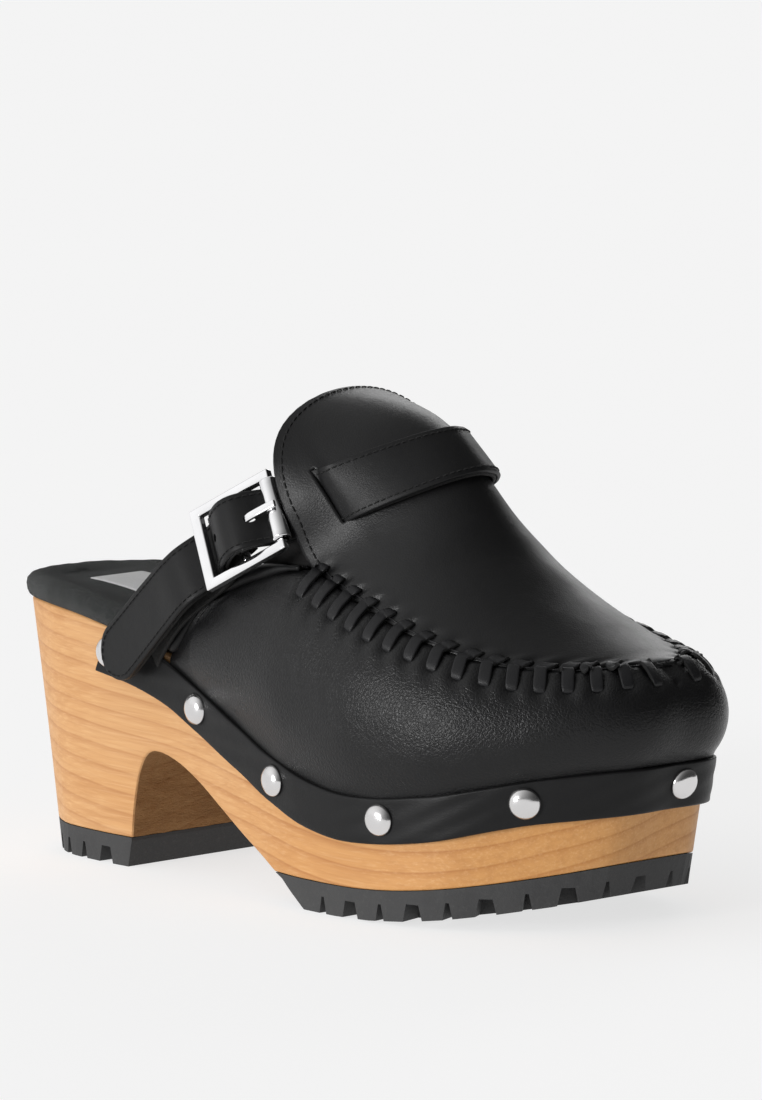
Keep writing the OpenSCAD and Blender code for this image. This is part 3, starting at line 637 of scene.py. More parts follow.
def suede_sock():
    rear = np.concatenate([np.arange(0, TOE, 0.05), [TOE]])
    t = outline_t(rear)
    n = len(t)
    profile = [(0.1, -1.2), (0.12, -0.1), (0.7, 0.7), (2.0, 1.15), (3.8, 1.2), (5.4, 0.7), (6.6, -0.5),
               (7.2, -2.2), (7.2, -4.2), (6.7, -6.5), (6.0, -9)]
    s = edge_length(t)
    bumps = 0.22 * np.sin(s * 0.31) + 0.15 * np.sin(s * 0.83 + 1)
    side = np.concatenate([side_at(t, -up + 0 * t - bumps * 0.3 * (up > 2),
                                   sock_out(t, out) + bumps * 0.4 * (0.5 < up < 5.5)) for up, out in profile])
    across = np.linspace(0, 1, 19)
    dish = 0.7 * np.sin(across[1:-1] * math.pi)

    def sink(inner, i):
        inner[:, 2] -= dish * min(i / 20, 1)
    base = (len(profile) - 1) * n
    points, faces = spanned(side[base:], base, len(side), len(rear), across, sink)
    obj = add_piece("sock_cover", np.concatenate([side, points]),
                    grid_faces(len(profile), n, wrap_cols=True) + faces, MAT["suede"], slot="suede",
                    replaces=["suede_sock"], sharp_on=False)
    fix_normals(obj)


LABEL = (38.0, -2.0, 14.0, 10.5)    # centre, and half of each side


def sock_label():
    cx, cy, w, h = LABEL
    n = 25
    u = np.linspace(-1, 1, n)
    a, b = np.meshgrid(u, u, indexing="ij")
    edge = np.minimum(1 - abs(a), 1 - abs(b))
    lift = 0.22 * np.minimum(1, edge / 0.12) - 0.10 * np.exp(-((edge - 0.17) / 0.03) ** 2)
    x = cx + w * a
    g = np.stack([x, cy + h * b, top_z(x) + 5.75 + lift], -1)
    obj = add_piece("label_patch", g.reshape(-1, 3), grid_faces(n, n), MAT["label"], slot="label",
                    replaces=["sock_label"], sharp_on=False)
    fix_normals(obj)
    thicken(obj, 0.4, 0)


# ---------------------------------------------------------------------------
# Upper
# ---------------------------------------------------------------------------

STITCH_PITCH = 7.75
FIRST_STITCH = 4.3
K_FINE = np.linspace(0, SEAM_END, 601)
SEAM_S = {side: path_length(wall_end(side, K_FINE)) for side in (-1, 1)}
SEAM_LEN = {side: SEAM_S[side][-1] for side in (-1, 1)}
# How far along the wall and the apron each stitch reaches, by station
WALL_REACH = np.array([(0, 0.74), (2.5, 0.75), (4, 0.815), (6, 0.815)])
APRON_REACH = np.array([(0, 0.45), (1, 0.55), (1.5, 0.6), (2, 0.66), (2.5, 0.74), (3, 0.83), (4, 0.87),
                        (6, 0.93)])
# How far along the seam, in stations, each stitch is shifted between the wall and the apron
STITCH_SLANT = np.array([(0, 0.12), (0.5, 0.2), (1, 0.3), (1.5, 0.28), (2, 0.13), (2.5, 0.02), (3, -0.05),
                         (4, -0.01), (5, 0.08), (6, 0.16)])


def seam_pos(side, k):
    return np.interp(k, K_FINE, SEAM_S[side])


def seam_k(side, s):
    return np.interp(s, SEAM_S[side], K_FINE)


def pinch(side, k):
    """0 at a stitch, 1 midway between two."""
    s = (SEAM_LEN[side] - FIRST_STITCH - seam_pos(side, k)) / STITCH_PITCH
    return 0.5 - 0.5 * np.cos(2 * math.pi * s)


def smooth_step(x):
    x = np.clip(x, 0, 1)
    return x * x * (3 - 2 * x)


def table(line, x):
    return np.interp(x, line[:, 0], line[:, 1])


def sample(grid, row, col):
    r, c = np.clip(row, 0, grid.shape[0] - 1.001), np.clip(col, 0, grid.shape[1] - 1.001)
    i, j = int(r), int(c)
    f, g = r - i, c - j
    return ((1 - f) * (1 - g) * grid[i, j] + (1 - f) * g * grid[i, j + 1]
            + f * (1 - g) * grid[i + 1, j] + f * g * grid[i + 1, j + 1])


def vamp_grid():
    t = np.linspace(station_t(-1, TIP), station_t(1, TIP), 641)[::-1]
    ws = np.concatenate([np.linspace(0, 0.6, 16), np.linspace(0.62, 0.96, 18), [0.975, 0.99, 1.0]])
    rows = [side_at(t, 8 + 0 * t, WALL_OUT + 0 * t), side_at(t, 4 + 0 * t, WALL_OUT + 0 * t),
            side_at(t, 1.2 + 0 * t, WALL_OUT + 0 * t)]
    rows += [wall_at(t, w) for w in ws[1:]]
    g = np.stack(rows)
    normals = grid_normals(g)
    side = np.where(t < TOE, -1, 1)
    k = np.abs(t - TOE) / 0.875
    wave = np.where(side < 0, pinch(-1, np.minimum(k, SEAM_END)), pinch(1, np.minimum(k, SEAM_END)))
    fade = np.clip((SEAM_END + 0.25 - k) / 0.4, 0, 1)
    tip = 1 - 0.5 * np.exp(-(k / 0.6) ** 2)
    s = edge_length(t)
    for r, w in enumerate(ws[1:], 3):
        reach = table(WALL_REACH, k)
        near = smooth_step((w - reach + 0.16) / 0.14) * (1 - 0.7 * smooth_step((w - 0.93) / 0.07))
        g[r] += normals[r] * ((wave * 0.75 - 0.25) * near * fade * tip)[:, None]
        hole = np.exp(-((w - reach) / 0.03) ** 2) * (1 - wave) ** 4
        g[r] -= normals[r] * (0.55 * hole * fade)[:, None]
        roll = smooth_step((w - 0.86) / 0.12)
        g[r] += normals[r] * (roll * 0.25 * fade)[:, None]
        g[r, :, 2] += roll * 0.35 * fade
        uneven = 0.22 * np.sin(s * 0.09 + w * 2.0) + 0.13 * np.sin(s * 0.21 - w * 5)
        g[r] += normals[r] * (uneven * np.sin(w * math.pi))[:, None]
    return g, t, ws


VAMP, VAMP_T, VAMP_W = vamp_grid()
VAMP_N = grid_normals(VAMP)


def on_wall(side, k, w):
    """Point and normal of the finished wall's outer face."""
    t = station_t(side, k)
    row = np.interp(w, VAMP_W, np.arange(len(VAMP_W)) + 2)
    col = np.interp(-t, -VAMP_T, np.arange(len(VAMP_T)))
    return sample(VAMP, row, col), unit(sample(VAMP_N, row, col))


def vamp():
    obj = add_piece("vamp_wall", VAMP.reshape(-1, 3), sheet_faces(VAMP), MAT["grain"],
                    replaces=["vamp"], sharp_on=False)
    thicken(obj, 1.25, -1)
    inner = (VAMP - VAMP_N * 2.0)[3:, :, :]
    inner[0] += (0, 0, 0.6)
    lining = add_piece("wall_lining", inner.reshape(-1, 3), sheet_faces(inner), MAT["lining"],
                       slot="lining", replaces=["vamp_lining"], sharp_on=False)
    thicken(lining, 0.8, -1)


def strap_front_k(w):
    return 5.75 + 0.9 * w * w


def strap_rear_k(w):
    return 6.5 + 1.2 * w * w


SLIT_IN, SLIT_OUT = 0.705, 0.735
INSET = 0.25


def from_slit(w):
    """How far across the tongue a point is, with the inner side's slit moved onto the outer side's."""
    return np.abs(w) + np.where(np.asarray(w) > 0, INSET, 0) * np.clip(np.abs(w) / 0.3, 0, 1)


def trimmed(k, w):
    """The tongue is narrower on the inner side of the foot above the end of the seam."""
    return np.where(w > 0, w * (1 - 0.22 * smooth_step((np.asarray(k, float) - 5.95) / 0.7)), w)


def apron_grid():
    ks = np.concatenate([np.linspace(0.10, 5.7, 200), np.linspace(5.72, 7.5, 75),
                         [7.56, 7.62, 7.68, 7.74, 7.8, 7.85, 7.9, 7.94, 7.97, 7.99]])
    half = [np.concatenate([np.linspace(0, 0.66 - q, 27)[1:],
                            np.array([0.68, 0.695, SLIT_IN, SLIT_OUT, 0.75]) - q,
                            np.linspace(0.77 - q, 0.985, 15)]) for q in (0, INSET)]
    ws = np.concatenate([-half[0][::-1], [0], half[1]])
    kk, ww = np.meshgrid(ks, ws)
    g = apron_at(kk.ravel(), trimmed(kk, ww * tongue_share(kk)).ravel()).reshape(len(ws), len(ks), 3)
    n = grid_normals(g)
    aw = np.abs(ww)
    kf, kr = strap_front_k(aw), strap_rear_k(aw)
    under = smooth_step((kk - kf) / 0.1) * smooth_step((kr - kk) / 0.1)
    fs = from_slit(ww)
    lift = -3.4 * smooth_step((fs - 0.52) / 0.17) * (fs <= SLIT_IN + 0.001) * under
    # outside the slits the tongue's margin is pushed up a little by the strap beneath
    hump = np.exp(-((kk - (kf + kr) / 2) / 0.62) ** 2)
    lift = lift + 0.9 * hump * smooth_step((fs - 0.62) / 0.1) * (1 - 0.5 * smooth_step((fs - 0.8) / 0.18))
    wave = np.where(ww < 0, pinch(-1, np.minimum(kk, SEAM_END)), pinch(1, np.minimum(kk, SEAM_END)))
    reach = table(APRON_REACH, kk)
    band = 1 - reach
    end = np.clip((SEAM_END + 0.1 - kk) / 0.3, 0, 1)
    near = smooth_step((aw - reach + band) / band) * (1 - 0.7 * smooth_step((aw - 0.95) / 0.04)) * end
    lift = lift + (wave * 0.6 - 0.3) * near
    lift = lift - 0.5 * np.exp(-((aw - reach) / (0.25 * band + 0.008)) ** 2) * (1 - wave) ** 4 * end
    # soft folds where the instep flexes
    lift = lift + 0.20 * np.sin(kk * 5.2 + ww * 2.4) * np.exp(-((kk - 5.0) / 0.5) ** 2) * (1 - aw**3)
    lift = lift + 0.15 * np.sin(ww * 9 + kk * 1.3) * np.exp(-((kk - 4.3) / 0.9) ** 2) * (1 - ww**2)
    g = g + n * lift[..., None]
    g[..., 2] += smooth_step((aw - 0.80) / 0.16) * end * 0.4
    return g, n, ks, ws


APRON, APRON_N0, APRON_K, APRON_W = apron_grid()
APRON_N = grid_normals(APRON)


def on_apron(k, w):
    row, col = np.interp(w, APRON_W, np.arange(len(APRON_W))), np.interp(k, APRON_K, np.arange(len(APRON_K)))
    return sample(APRON, row, col), unit(sample(APRON_N, row, col))


def apron():
    g, n, ks, ws = APRON, APRON_N0, APRON_K, APRON_W
    rows, cols = g.shape[:2]

    def open_slit(f):
        r = [v // cols for v in f]
        c = [v % cols for v in f]
        w, k = abs(ws[r].mean()), ks[c].mean()
        return (SLIT_IN < from_slit(ws[r].mean()) < SLIT_OUT
                and strap_front_k(w) - 0.02 < k < strap_rear_k(w) + 0.02)
    faces = [f for f in sheet_faces(g) if not open_slit(f)]
    obj = add_piece("apron_flap", g.reshape(-1, 3), faces, MAT["smooth"], replaces=["apron_tongue"],
                    sharp_on=False)
    thicken(obj, 1.3, -1)
    inner = g - n * 1.45
    keep = [i for i, w in enumerate(ws) if from_slit(w) < 0.70]
    sub = inner[keep][:, 4:-1]
    parts = [(sub.reshape(-1, 3), sheet_faces(sub))]
    for side in (-1, 1):
        # dark lining sheets that close the corner between the tongue and the side wall: painted shade
        # standing in for the shadowed gap there, not a real gusset; and the tongue's lined margin
        stop, reach = (6.85, 7.6) if side < 0 else (6.4, 6.9)
        kk = np.linspace(5.75, reach, 36)
        a = np.array([sample(inner, np.interp(side * 0.93, ws, np.arange(rows)),
                             np.interp(min(q, stop), ks, np.arange(cols))) for q in kk])
        b = wall_end(side, kk) + np.stack([0 * kk, -side * 4.0 + 0 * kk, -5 + 0 * kk], 1)
        sheet = np.stack([a + (b - a) * f - np.array([0, side * 1.5, 0]) * math.sin(math.pi * f)
                          for f in np.linspace(0, 1, 10)])
        parts.append((sheet.reshape(-1, 3), sheet_faces(sheet)))
        edge = [i for i, w in enumerate(ws) if side * w > 0 and SLIT_OUT < from_slit(w) and abs(w) < 0.97]
        margin = inner[edge][:, 200:-1]
        parts.append((margin.reshape(-1, 3), sheet_faces(margin)))
    lining = add_piece("flap_lining", *joined(parts), MAT["lining"],
                       slot="lining", replaces=["apron_lining"], sharp_on=False)
    thicken(lining, 0.8, -1)
    # the row of thread just inside the tongue's free edge
    turn = np.linspace(0, math.pi, 400)
    power = 2 / 2.6
    tip_k = 6.8 + 1.2 * 0.915 * np.sin(turn) ** power
    tip_w = 0.925 * np.sign(np.cos(turn)) * np.abs(np.cos(turn)) ** power
    run = np.linspace(5.98, 6.8, 60)[:-1]
    route = ([(k, -0.925 - 0.02 * (6.8 - k)) for k in run] + [(k, w) for k, w in zip(tip_k, -tip_w)]
             + [(k, 0.925 + 0.02 * (6.8 - k)) for k in run[::-1]])
    pts = []
    for k, w in route:
        share = float(tongue_share(k))
        pts.append(on_apron(min(k, 7.985), float(np.clip(w / max(share, 0.05), -0.98, 0.98))))
    stitches("tongue_stitching", pts, 2.5)


def stitches(name, line, pitch, length=1.7, r=0.24):
    """Thread stitches at an even pitch along a line of (point, normal) pairs."""
    p, n = np.array([q[0] for q in line]), np.array([q[1] for q in line])
    s = path_length(p)
    parts = []
    for at in np.arange(0.6, s[-1] - 0.6, pitch):
        here, ahead = (np.array([np.interp(v, s, p[:, i]) for i in range(3)]) for v in (at, at + 0.4))
        normal = unit(np.array([np.interp(at, s, n[:, i]) for i in range(3)]))
        stitch_row(parts, here, normal, unit(ahead - here), length, r)
    return add_piece(name, *joined(parts), MAT["thread"], slot="lace", sharp_on=False)


def topline_roll():
    parts = []
    for side in (-1, 1):
        k = np.linspace(6.15, 7.99, 60)
        p = wall_end(side, k)
        n = edge_normal(station_t(side, k))
        p = p + np.stack([n[:, 0] * 0.9, n[:, 1] * 0.9, 0.9 + 0 * k], 1)
        taper = np.clip((k - 6.1) / 0.6, 0.35, 1) * (1 - 0.5 * np.clip((k - 7.93) / 0.06, 0, 1) ** 2)
        parts.append(sweep(p, np.array([0, 0, 1.0]), oval(2.5, 2.5, 20), taper))
        q = p.copy()
        q[:, 1] -= side * 3.2
        q[:, 2] -= 0.2
        parts.append(sweep(q, np.array([0, 0, 1.0]), oval(1.6, 1.7, 14), taper))
    obj = add_piece("topline_edge", *joined(parts), MAT["matte"], replaces=["topline_roll"], sharp_on=False)
    fix_normals(obj)
    return obj


def lacing():
    parts, under = [], []
    for side in (-1, 1):
        last = SEAM_LEN[side] - FIRST_STITCH
        for i in range(int((last - 3) / STITCH_PITCH) + 1):
            k = float(seam_k(side, last - STITCH_PITCH * i))
            kp = max(k + float(table(STITCH_SLANT, k)) * min(1, k / 1.2), 0.12)
            wr, ar = float(table(WALL_REACH, k)), float(table(APRON_REACH, kp))
            stops = []
            for w, h in ((wr - 0.004, -0.9), (wr + 0.012, 0.5), (wr + (1 - wr) * 0.45, 0.95), (0.97, 1.15)):
                p, n = on_wall(side, k, w)
                stops.append(p + n * h)
            for w, h in ((0.965, 1.1), (ar + (1 - ar) * 0.45, 0.95), (ar + (1 - ar) * 0.1, 0.5), (ar, -0.9)):
                p, n = on_apron(kp if w < 0.9 else (k + kp) / 2, side * w)
                stops.append(p + n * h)
            path = spline(stops, np.linspace(0, len(stops) - 1, 36))
            d = unit(np.gradient(path, axis=0))
            along = unit(wall_end(side, min(k + 0.05, SEAM_END)) - wall_end(side, max(k - 0.05, 0)))[0]
            if k < 0.3:
                along = np.array([0, 1.0, 0])
            taper = np.interp(np.linspace(0, 1, 36), [0, 0.06, 0.2, 0.8, 0.94, 1], [0.5, 0.8, 1, 1, 0.8, 0.5])
            parts.append(sweep(path, unit(np.cross(d, along[None, :])), oval(1.85, 0.6, 20, 5.0), taper,
                               flat=True))
        line = np.array([on_apron(k, side * 0.955)[0] + (0, 0, 0.25) for k in np.linspace(0.7, 5.9, 260)])
        under.append(sweep(line, np.array([0, 0, 1.0]), oval(0.28, 0.28, 8)))
    obj = add_piece("seam_lace", *joined(parts + under), MAT["lace"], slot="lace", replaces=["moc_lacing"],
                    sharp=40)
    fix_normals(obj)
    obj.data.materials.append(MAT["edge"])
    first = 0
    for _, faces in parts:
        # the cut sides of each flat lace
        for i in range(35):
            for j in range(20):
                if j in (0, 19, 9, 10):
                    obj.data.polygons[first + i * 20 + j].material_index = 1
        first += len(faces)


# ---------------------------------------------------------------------------
# Band and studs
# ---------------------------------------------------------------------------

STUDS = [78, 119, 160.5, 206.5, 251.5, 301, 346, 392, 436, 476]
STUD_DROP = 6.7
STRAP_STUD = 497
STRAP_W = 18


def rand_band():
    t = np.linspace(3.12, TURN - 3.12, 760)
    s = edge_length(t)
    length = 14.0
    prof = []
    inner, outer = 1.28, 2.75
    for a in np.linspace(math.pi / 2, 0, 5):
        prof.append((0.3 + 0.75 - 0.75 * math.sin(a), outer - 0.75 + 0.75 * math.cos(a)))
    for v in np.linspace(0, 1, 11)[1:-1]:
        prof.append((1.05 + (length - 2.1) * v, outer))
    for a in np.linspace(0, math.pi / 2, 5):
        prof.append((length - 0.75 + 0.75 * math.sin(a), outer - 0.75 + 0.75 * math.cos(a)))
    prof += [(length, inner), (0.3, inner)]
    rows = []
    lean = 0.17 * (np.clip((3.6 - t) / 0.4, 0, 1) - np.clip((t - (TURN - 3.6)) / 0.4, 0, 1))
    for drop, out in prof:
        o = np.full(len(t), out)
        d = drop + 0.25 * np.sin(s * 0.045) * (drop > 7) + 0.18 * np.sin(s * 0.12) * (drop > 7)
        if out > 1.6:
            for at in STUDS + [STRAP_STUD]:
                o -= 0.55 * np.exp(-((s - at) ** 2 + (drop - STUD_DROP) ** 2) / 42)
            o += 0.10 * np.sin(s * 0.33 + drop) + 0.08 * np.sin(s * 0.11)
        rows.append(side_at(t + lean * (1 - drop / length), d + 0 * t, o))
    g = np.stack(rows)
    faces = grid_faces(len(rows), len(t), wrap_rows=True)
    n = len(t)
    faces += [[r * n for r in range(len(rows))], [r * n + n - 1 for r in range(len(rows))][::-1]]
    obj = add_piece("rand_strip", g.reshape(-1, 3), faces, MAT["matte"], replaces=["rand_band"], sharp=50)
    fix_normals(obj)


def stud_mesh(centre, normal, radius=4.8, height=2.3):
    normal = unit(normal)
    x = unit(np.cross(normal, (0, 0, 1.0)))
    y = np.cross(normal, x)
    prof = [(0.0, height), (0.18, height - 0.02), (0.36, height * 0.955), (0.52, height * 0.885),
            (0.66, height * 0.77), (0.78, height * 0.62), (0.88, height * 0.44), (0.95, height * 0.25),
            (0.99, 0.12), (1.0, -0.10), (0.97, -0.32), (0.80, -0.38), (0.2, -0.38)]
    n = 40
    ang = np.linspace(0, 2 * math.pi, n, endpoint=False)
    pts = [centre + normal * prof[0][1]]
    for r, h in prof[1:]:
        wob = 1 + 0.004 * np.sin(3 * ang + h)
        ring = np.cos(ang)[:, None] * x + np.sin(ang)[:, None] * y
        pts += list(centre + normal * h + radius * r * wob[:, None] * ring)
    faces = [[0, 1 + j, 1 + (j + 1) % n] for j in range(n)]
    faces += grid_faces(len(prof) - 1, n, wrap_cols=True, first=1)
    last = 1 + (len(prof) - 2) * n
    faces.append([last + j for j in range(n)])
    return np.array(pts), faces


def studs():
    parts = []
    for s in STUDS:
        t = edge_param(s)
        parts.append(stud_mesh(side_at(t, STUD_DROP, 2.75)[0], side_normal(t)[0]))
    t = edge_param(STRAP_STUD)
    parts.append(stud_mesh(side_at(t, STUD_DROP, 5.6)[0], side_normal(t)[0]))
    obj = add_piece("stud_heads", *joined(parts), MAT["satin"], slot="steel", replaces=["dome_studs"],
                    sharp=60)
    fix_normals(obj)


# ---------------------------------------------------------------------------
# Strap and buckle
# ---------------------------------------------------------------------------

BUCKLE = np.array([120.6, -39.2, 108.6])
ALONG = unit([0.8316, 0.2605, 0.4886])
UPWARD = np.array([-0.5434, 0.2185, 0.8098])
ACROSS = unit(UPWARD - ALONG * np.dot(ALONG, UPWARD))
OUTWARD = np.cross(ALONG, ACROSS)
REACH = 13.7


def bp(a, b, c):
    return BUCKLE + ALONG * a + ACROSS * b + OUTWARD * c


def over_tongue(w, out):
    f, r = (apron_at(k, trimmed(k, w))[0] for k in (strap_front_k(w), strap_rear_k(w)))
    mid = (strap_front_k(w) + strap_rear_k(w)) / 2
    d = unit(f - r)
    c = apron_at(mid, trimmed(mid, w))[0]
    e = apron_at(mid, trimmed(mid, w + 0.02))[0] - c
    return c + unit(np.cross(d, e)) * out, d


OVER_W = [-0.85, -0.74, -0.64, -0.5, -0.34, -0.17, 0, 0.13, 0.22, 0.30, 0.40, 0.51, 0.66, 0.83]
STRAP_LIFT = np.array([(0, 2.1), (0.5, 1.8), (0.64, 0.9), (0.74, -1.9), (0.85, -3.3), (0.97, -3.6)])
TAIL = [((64.5, -41.2, 62), (0.66, -0.06, -0.75)), ((77, -42.6, 72.5), (0.65, -0.08, -0.755)),
        ((90, -44.2, 83.5), (0.63, -0.12, -0.77)), ((101, -44.8, 92.6), (0.6, -0.16, -0.785)),
        (bp(-13.1, 0, -5.0), -ACROSS), (bp(-7.0, 0, 1.3), -ACROSS), (bp(-1, 0, 4.6), -ACROSS),
        (bp(5, 0, 2.6), -ACROSS), (bp(REACH, 0, -6.0), -ACROSS), (bp(18.4, 0, -6.1), -ACROSS)]
STRAP_SEAT = 1.25 + 1.25 + 0.1 + 1.325
STRAP_T = edge_param(STRAP_STUD)
END = [((118, 38.5, 101), (0.6, 0.12, -0.79)), ((102, 40.5, 88), (0.64, 0.08, -0.76)),
       ((86, 36.6, 74), (0.66, 0.03, -0.75)),
       (side_at(STRAP_T, STUD_DROP, STRAP_SEAT + 0.2)[0], (0.66, 0, -0.75)),
       (side_at(STRAP_T + 0.2, STUD_DROP + 5, STRAP_SEAT + 0.2)[0], (0.66, 0, -0.75))]


def strap_route():
    stops = TAIL + [over_tongue(w, table(STRAP_LIFT, from_slit(w))) for w in OVER_W] + END
    p, h = np.array([s[0] for s in stops], float), np.array([s[1] for s in stops], float)
    tt = np.concatenate([np.linspace(0, 1, 26), np.linspace(1, len(stops) - 1, 330)[1:]])
    return spline(p, tt), unit(spline(h, tt))


def ribbon(centre, across, width, low, high, round_r=0.0, edge=0.45, crown=0.0):
    """A flat strip with softly rounded edges. Returns points and faces."""
    d = unit(np.gradient(centre, axis=0))
    across = unit(across - d * np.sum(across * d, 1)[:, None])
    normal = np.cross(across, d)
    s = path_length(centre)
    share = np.ones(len(s))
    if round_r:
        share = np.sqrt(np.clip(1 - np.clip(1 - s / round_r, 0, 1) ** 2, 0.01, 1))
    wide = np.broadcast_to(np.asarray(width, float), s.shape)
    share = share * wide / wide.max()
    half = wide.max() / 2
    inner = half - edge
    prof = []
    for way, face in ((1, high), (-1, low)):
        prof += [(way * v * inner, face + (crown * (1 - v * v) if way > 0 else 0))
                 for v in np.linspace(-1, 1, 13)]
        prof += [(way * (inner + edge * math.cos(a)), (low + high) / 2 + way * (high - low) / 2 * math.sin(a))
                 for a in np.linspace(math.pi / 2, -math.pi / 2, 7)[1:-1]]
    prof = np.array(prof)
    pts = (centre[:, None, :] + across[:, None, :] * (prof[None, :, 0:1] * share[:, None, None])
           + normal[:, None, :] * prof[None, :, 1:2])
    n = len(prof)
    faces = grid_faces(len(centre), n, wrap_cols=True)
    faces += [list(range(n))[::-1], list(range((len(centre) - 1) * n, len(centre) * n))]
    return pts.reshape(-1, 3), faces, (d, across, normal, s, share)


def stitch_row(parts, centre, normal, direction, length=1.9, r=0.30):
    """One thread stitch lying on a surface, its ends dipping in."""
    a, b = centre - direction * length / 2, centre + direction * length / 2
    stops = [a - normal * 0.5, a + normal * 0.12, centre + normal * 0.26, b + normal * 0.12, b - normal * 0.5]
    parts.append(sweep(spline(stops, np.linspace(0, 4, 7)), normal, oval(r, r * 0.8, 6)))


def bore_cutter(name, holes):
    parts = []
    for centre, axis, x_dir, a, b in holes:
        axis = unit(axis)
        x = unit(np.cross(np.cross(axis, x_dir), axis))
        path = np.array([centre - axis * 5, centre + axis * 5])
        side = np.cross(axis, x)
        ring = oval(a, b, 20)
        pts = np.concatenate([c + x * ring[:, 0:1] + side * ring[:, 1:2] for c in path])
        n = len(ring)
        faces = grid_faces(2, n, wrap_cols=True) + [list(range(n))[::-1], list(range(n, 2 * n))]
        parts.append((pts, faces))
    pts, faces = joined(parts)
    mesh = bpy.data.meshes.new(name)
    mesh.from_pydata(metres(pts).tolist(), [], faces)
    obj = bpy.data.objects.new(name, mesh)
    bpy.context.scene.collection.objects.link(obj)
    fix_normals(obj)
    return obj


def cut(obj, cutter):
    mod = obj.modifiers.new("holes", "BOOLEAN")
    mod.operation = "DIFFERENCE"
    mod.object = cutter
    mod.solver = "EXACT"
    apply_modifiers(obj)


def strap():
    centre, across = strap_route()
    half = STRAP_W / 2
    outer_pts, faces, (d, ac, normal, s, share) = ribbon(centre, across, STRAP_W, 0.03, 1.45, half, 0.5, 0.12)
    ribbon_out = add_piece("strap_outer", outer_pts, faces, MAT["matte"], replaces=["instep_strap"], sharp=50)
    fix_normals(ribbon_out)
    inner_pts, faces2, _ = ribbon(centre, across, STRAP_W - 0.3, -1.4, -0.03, half, 0.5)
    ribbon_in = add_piece("strap_inner", inner_pts, faces2, MAT["edge"], slot="lining",
                          replaces=["strap_lining"], sharp=50)
    fix_normals(ribbon_in)
    buckle_at = int(np.argmin(np.linalg.norm(centre - bp(0, 0, 4.4), axis=1)))

    def near(distance):
        return int(np.argmin(np.abs(s - (s[buckle_at] + distance))))
    holes = []
    for dist in (-21.5, -7.0):
        i = near(dist)
        holes.append((centre[i], normal[i], d[i], 1.25, 1.25))
    i = near(6.0)
    holes.append((centre[i], normal[i], d[i], 2.0, 1.45))
    cutter = bore_cutter("strap_bores", holes)
    cut(ribbon_out, cutter)
    cut(ribbon_in, cutter)
    bpy.data.objects.remove(cutter)
    for side in (-1, 1):
        off = side * (half * share - 1.6)
        line = [(centre[i] + ac[i] * off[i] + normal[i] * 1.47, normal[i])
                for i in range(len(s)) if share[i] > 0.3]
        stitches("strap_stitching_" + ("low" if side > 0 else "high"), line, 2.2, 1.5, 0.2)


def chape():
    stops = [(side_at(3.42, 3.2, 0.65)[0], (0.66, 0, -0.75)), (side_at(3.62, 0, 0.65)[0], (0.66, 0, -0.75)),
             ((78, -37.4, 75), (0.65, -0.08, -0.755)), ((92, -40, 87), (0.62, -0.14, -0.77)),
             (bp(-REACH, 0, -7.2), -ACROSS), (bp(-7, 0, -3.4), -ACROSS), (bp(-2.5, 0, -2.2), -ACROSS),
             (bp(0.3, 0, -2.1), -ACROSS)]
    p, h = np.array([q[0] for q in stops], float), np.array([q[1] for q in stops], float)
    tt = np.linspace(0, len(stops) - 1, 120)
    path, across = spline(p, tt), unit(spline(h, tt))
    # the fold round the centre bar, split for the prong
    angles = np.linspace(-math.pi / 2, math.radians(205), 36)
    loop = np.array([bp(2.15 * math.cos(a), 0, 2.15 * math.sin(a)) for a in angles])
    step = np.arange(len(path) - 3)
    raised = np.interp(step, [0, 20, 85, 117], [1.5, 2.1, 1.6, 0])[:, None]
    strip = ribbon(path[:-3] + across[:-3] * raised, across[:-3],
                   np.interp(step, [0, 80, 100, 117], [STRAP_W, STRAP_W, 15, 15]), -0.9, 0.6, edge=0.5)
    parts = [strip[:2]]
    for side in (-1, 1):
        shift = ACROSS * side * (1.8 + 2.85)
        parts.append(ribbon(loop + shift, np.repeat(-ACROSS[None, :], len(loop), 0), 5.7, -0.55, 0.55,
                            edge=0.4)[:2])
    fix_normals(add_piece("chape_fold", *joined(parts), MAT["edge"], replaces=["buckle_chape"], sharp=50))


def frame_ring(lo, hi, half, height):
    steps_a, steps_b = np.linspace(lo, hi, 9), np.linspace(-half, half, 9)
    ring = ([(a, -half) for a in steps_a] + [(hi, b) for b in steps_b[1:]]
            + [(a, half) for a in steps_a[::-1][1:]] + [(lo, b) for b in steps_b[::-1][1:-1]])
    return [bp(a, b, height) for a, b in ring]


def metal_piece(name, points, faces, body, node, **kind):
    obj = add_piece(name, points, faces, MAT["chrome"], body=body, slot="chrome", replaces=[node], **kind)
    fix_normals(obj)
    return obj


def buckle_ring():
    """Flat bars with mitred corners, softly crowned, and the centre bar between them."""
    outer, inner = np.array([-15.7, REACH + 1.0, 13.2]), np.array([-12.05, REACH - 1.3, 10.3])
    pts = []
    for f in np.linspace(0, 1, 4):
        pts += frame_ring(*((1 - f) * outer + f * inner), 1.28 + 0.17 * math.sin(math.pi * f))
    pts += frame_ring(*inner, -1.3) + frame_ring(*outer, -1.3)
    faces = grid_faces(6, len(pts) // 6, wrap_cols=True, wrap_rows=True)
    bar = sweep(np.array([bp(0, y, 0) for y in np.linspace(-10.9, 10.9, 12)]), OUTWARD, oval(1.38, 1.38, 20))
    obj = metal_piece("buckle_ring", *joined([(np.array(pts), faces), bar]), "buckle", "buckle_frame",
                      sharp_on=False)
    soft = obj.modifiers.new("soft_edges", "BEVEL")
    soft.width = 0.42 * MM
    soft.segments = 3
    soft.limit_method = "ANGLE"
    soft.angle_limit = math.radians(40)
    soft.harden_normals = True


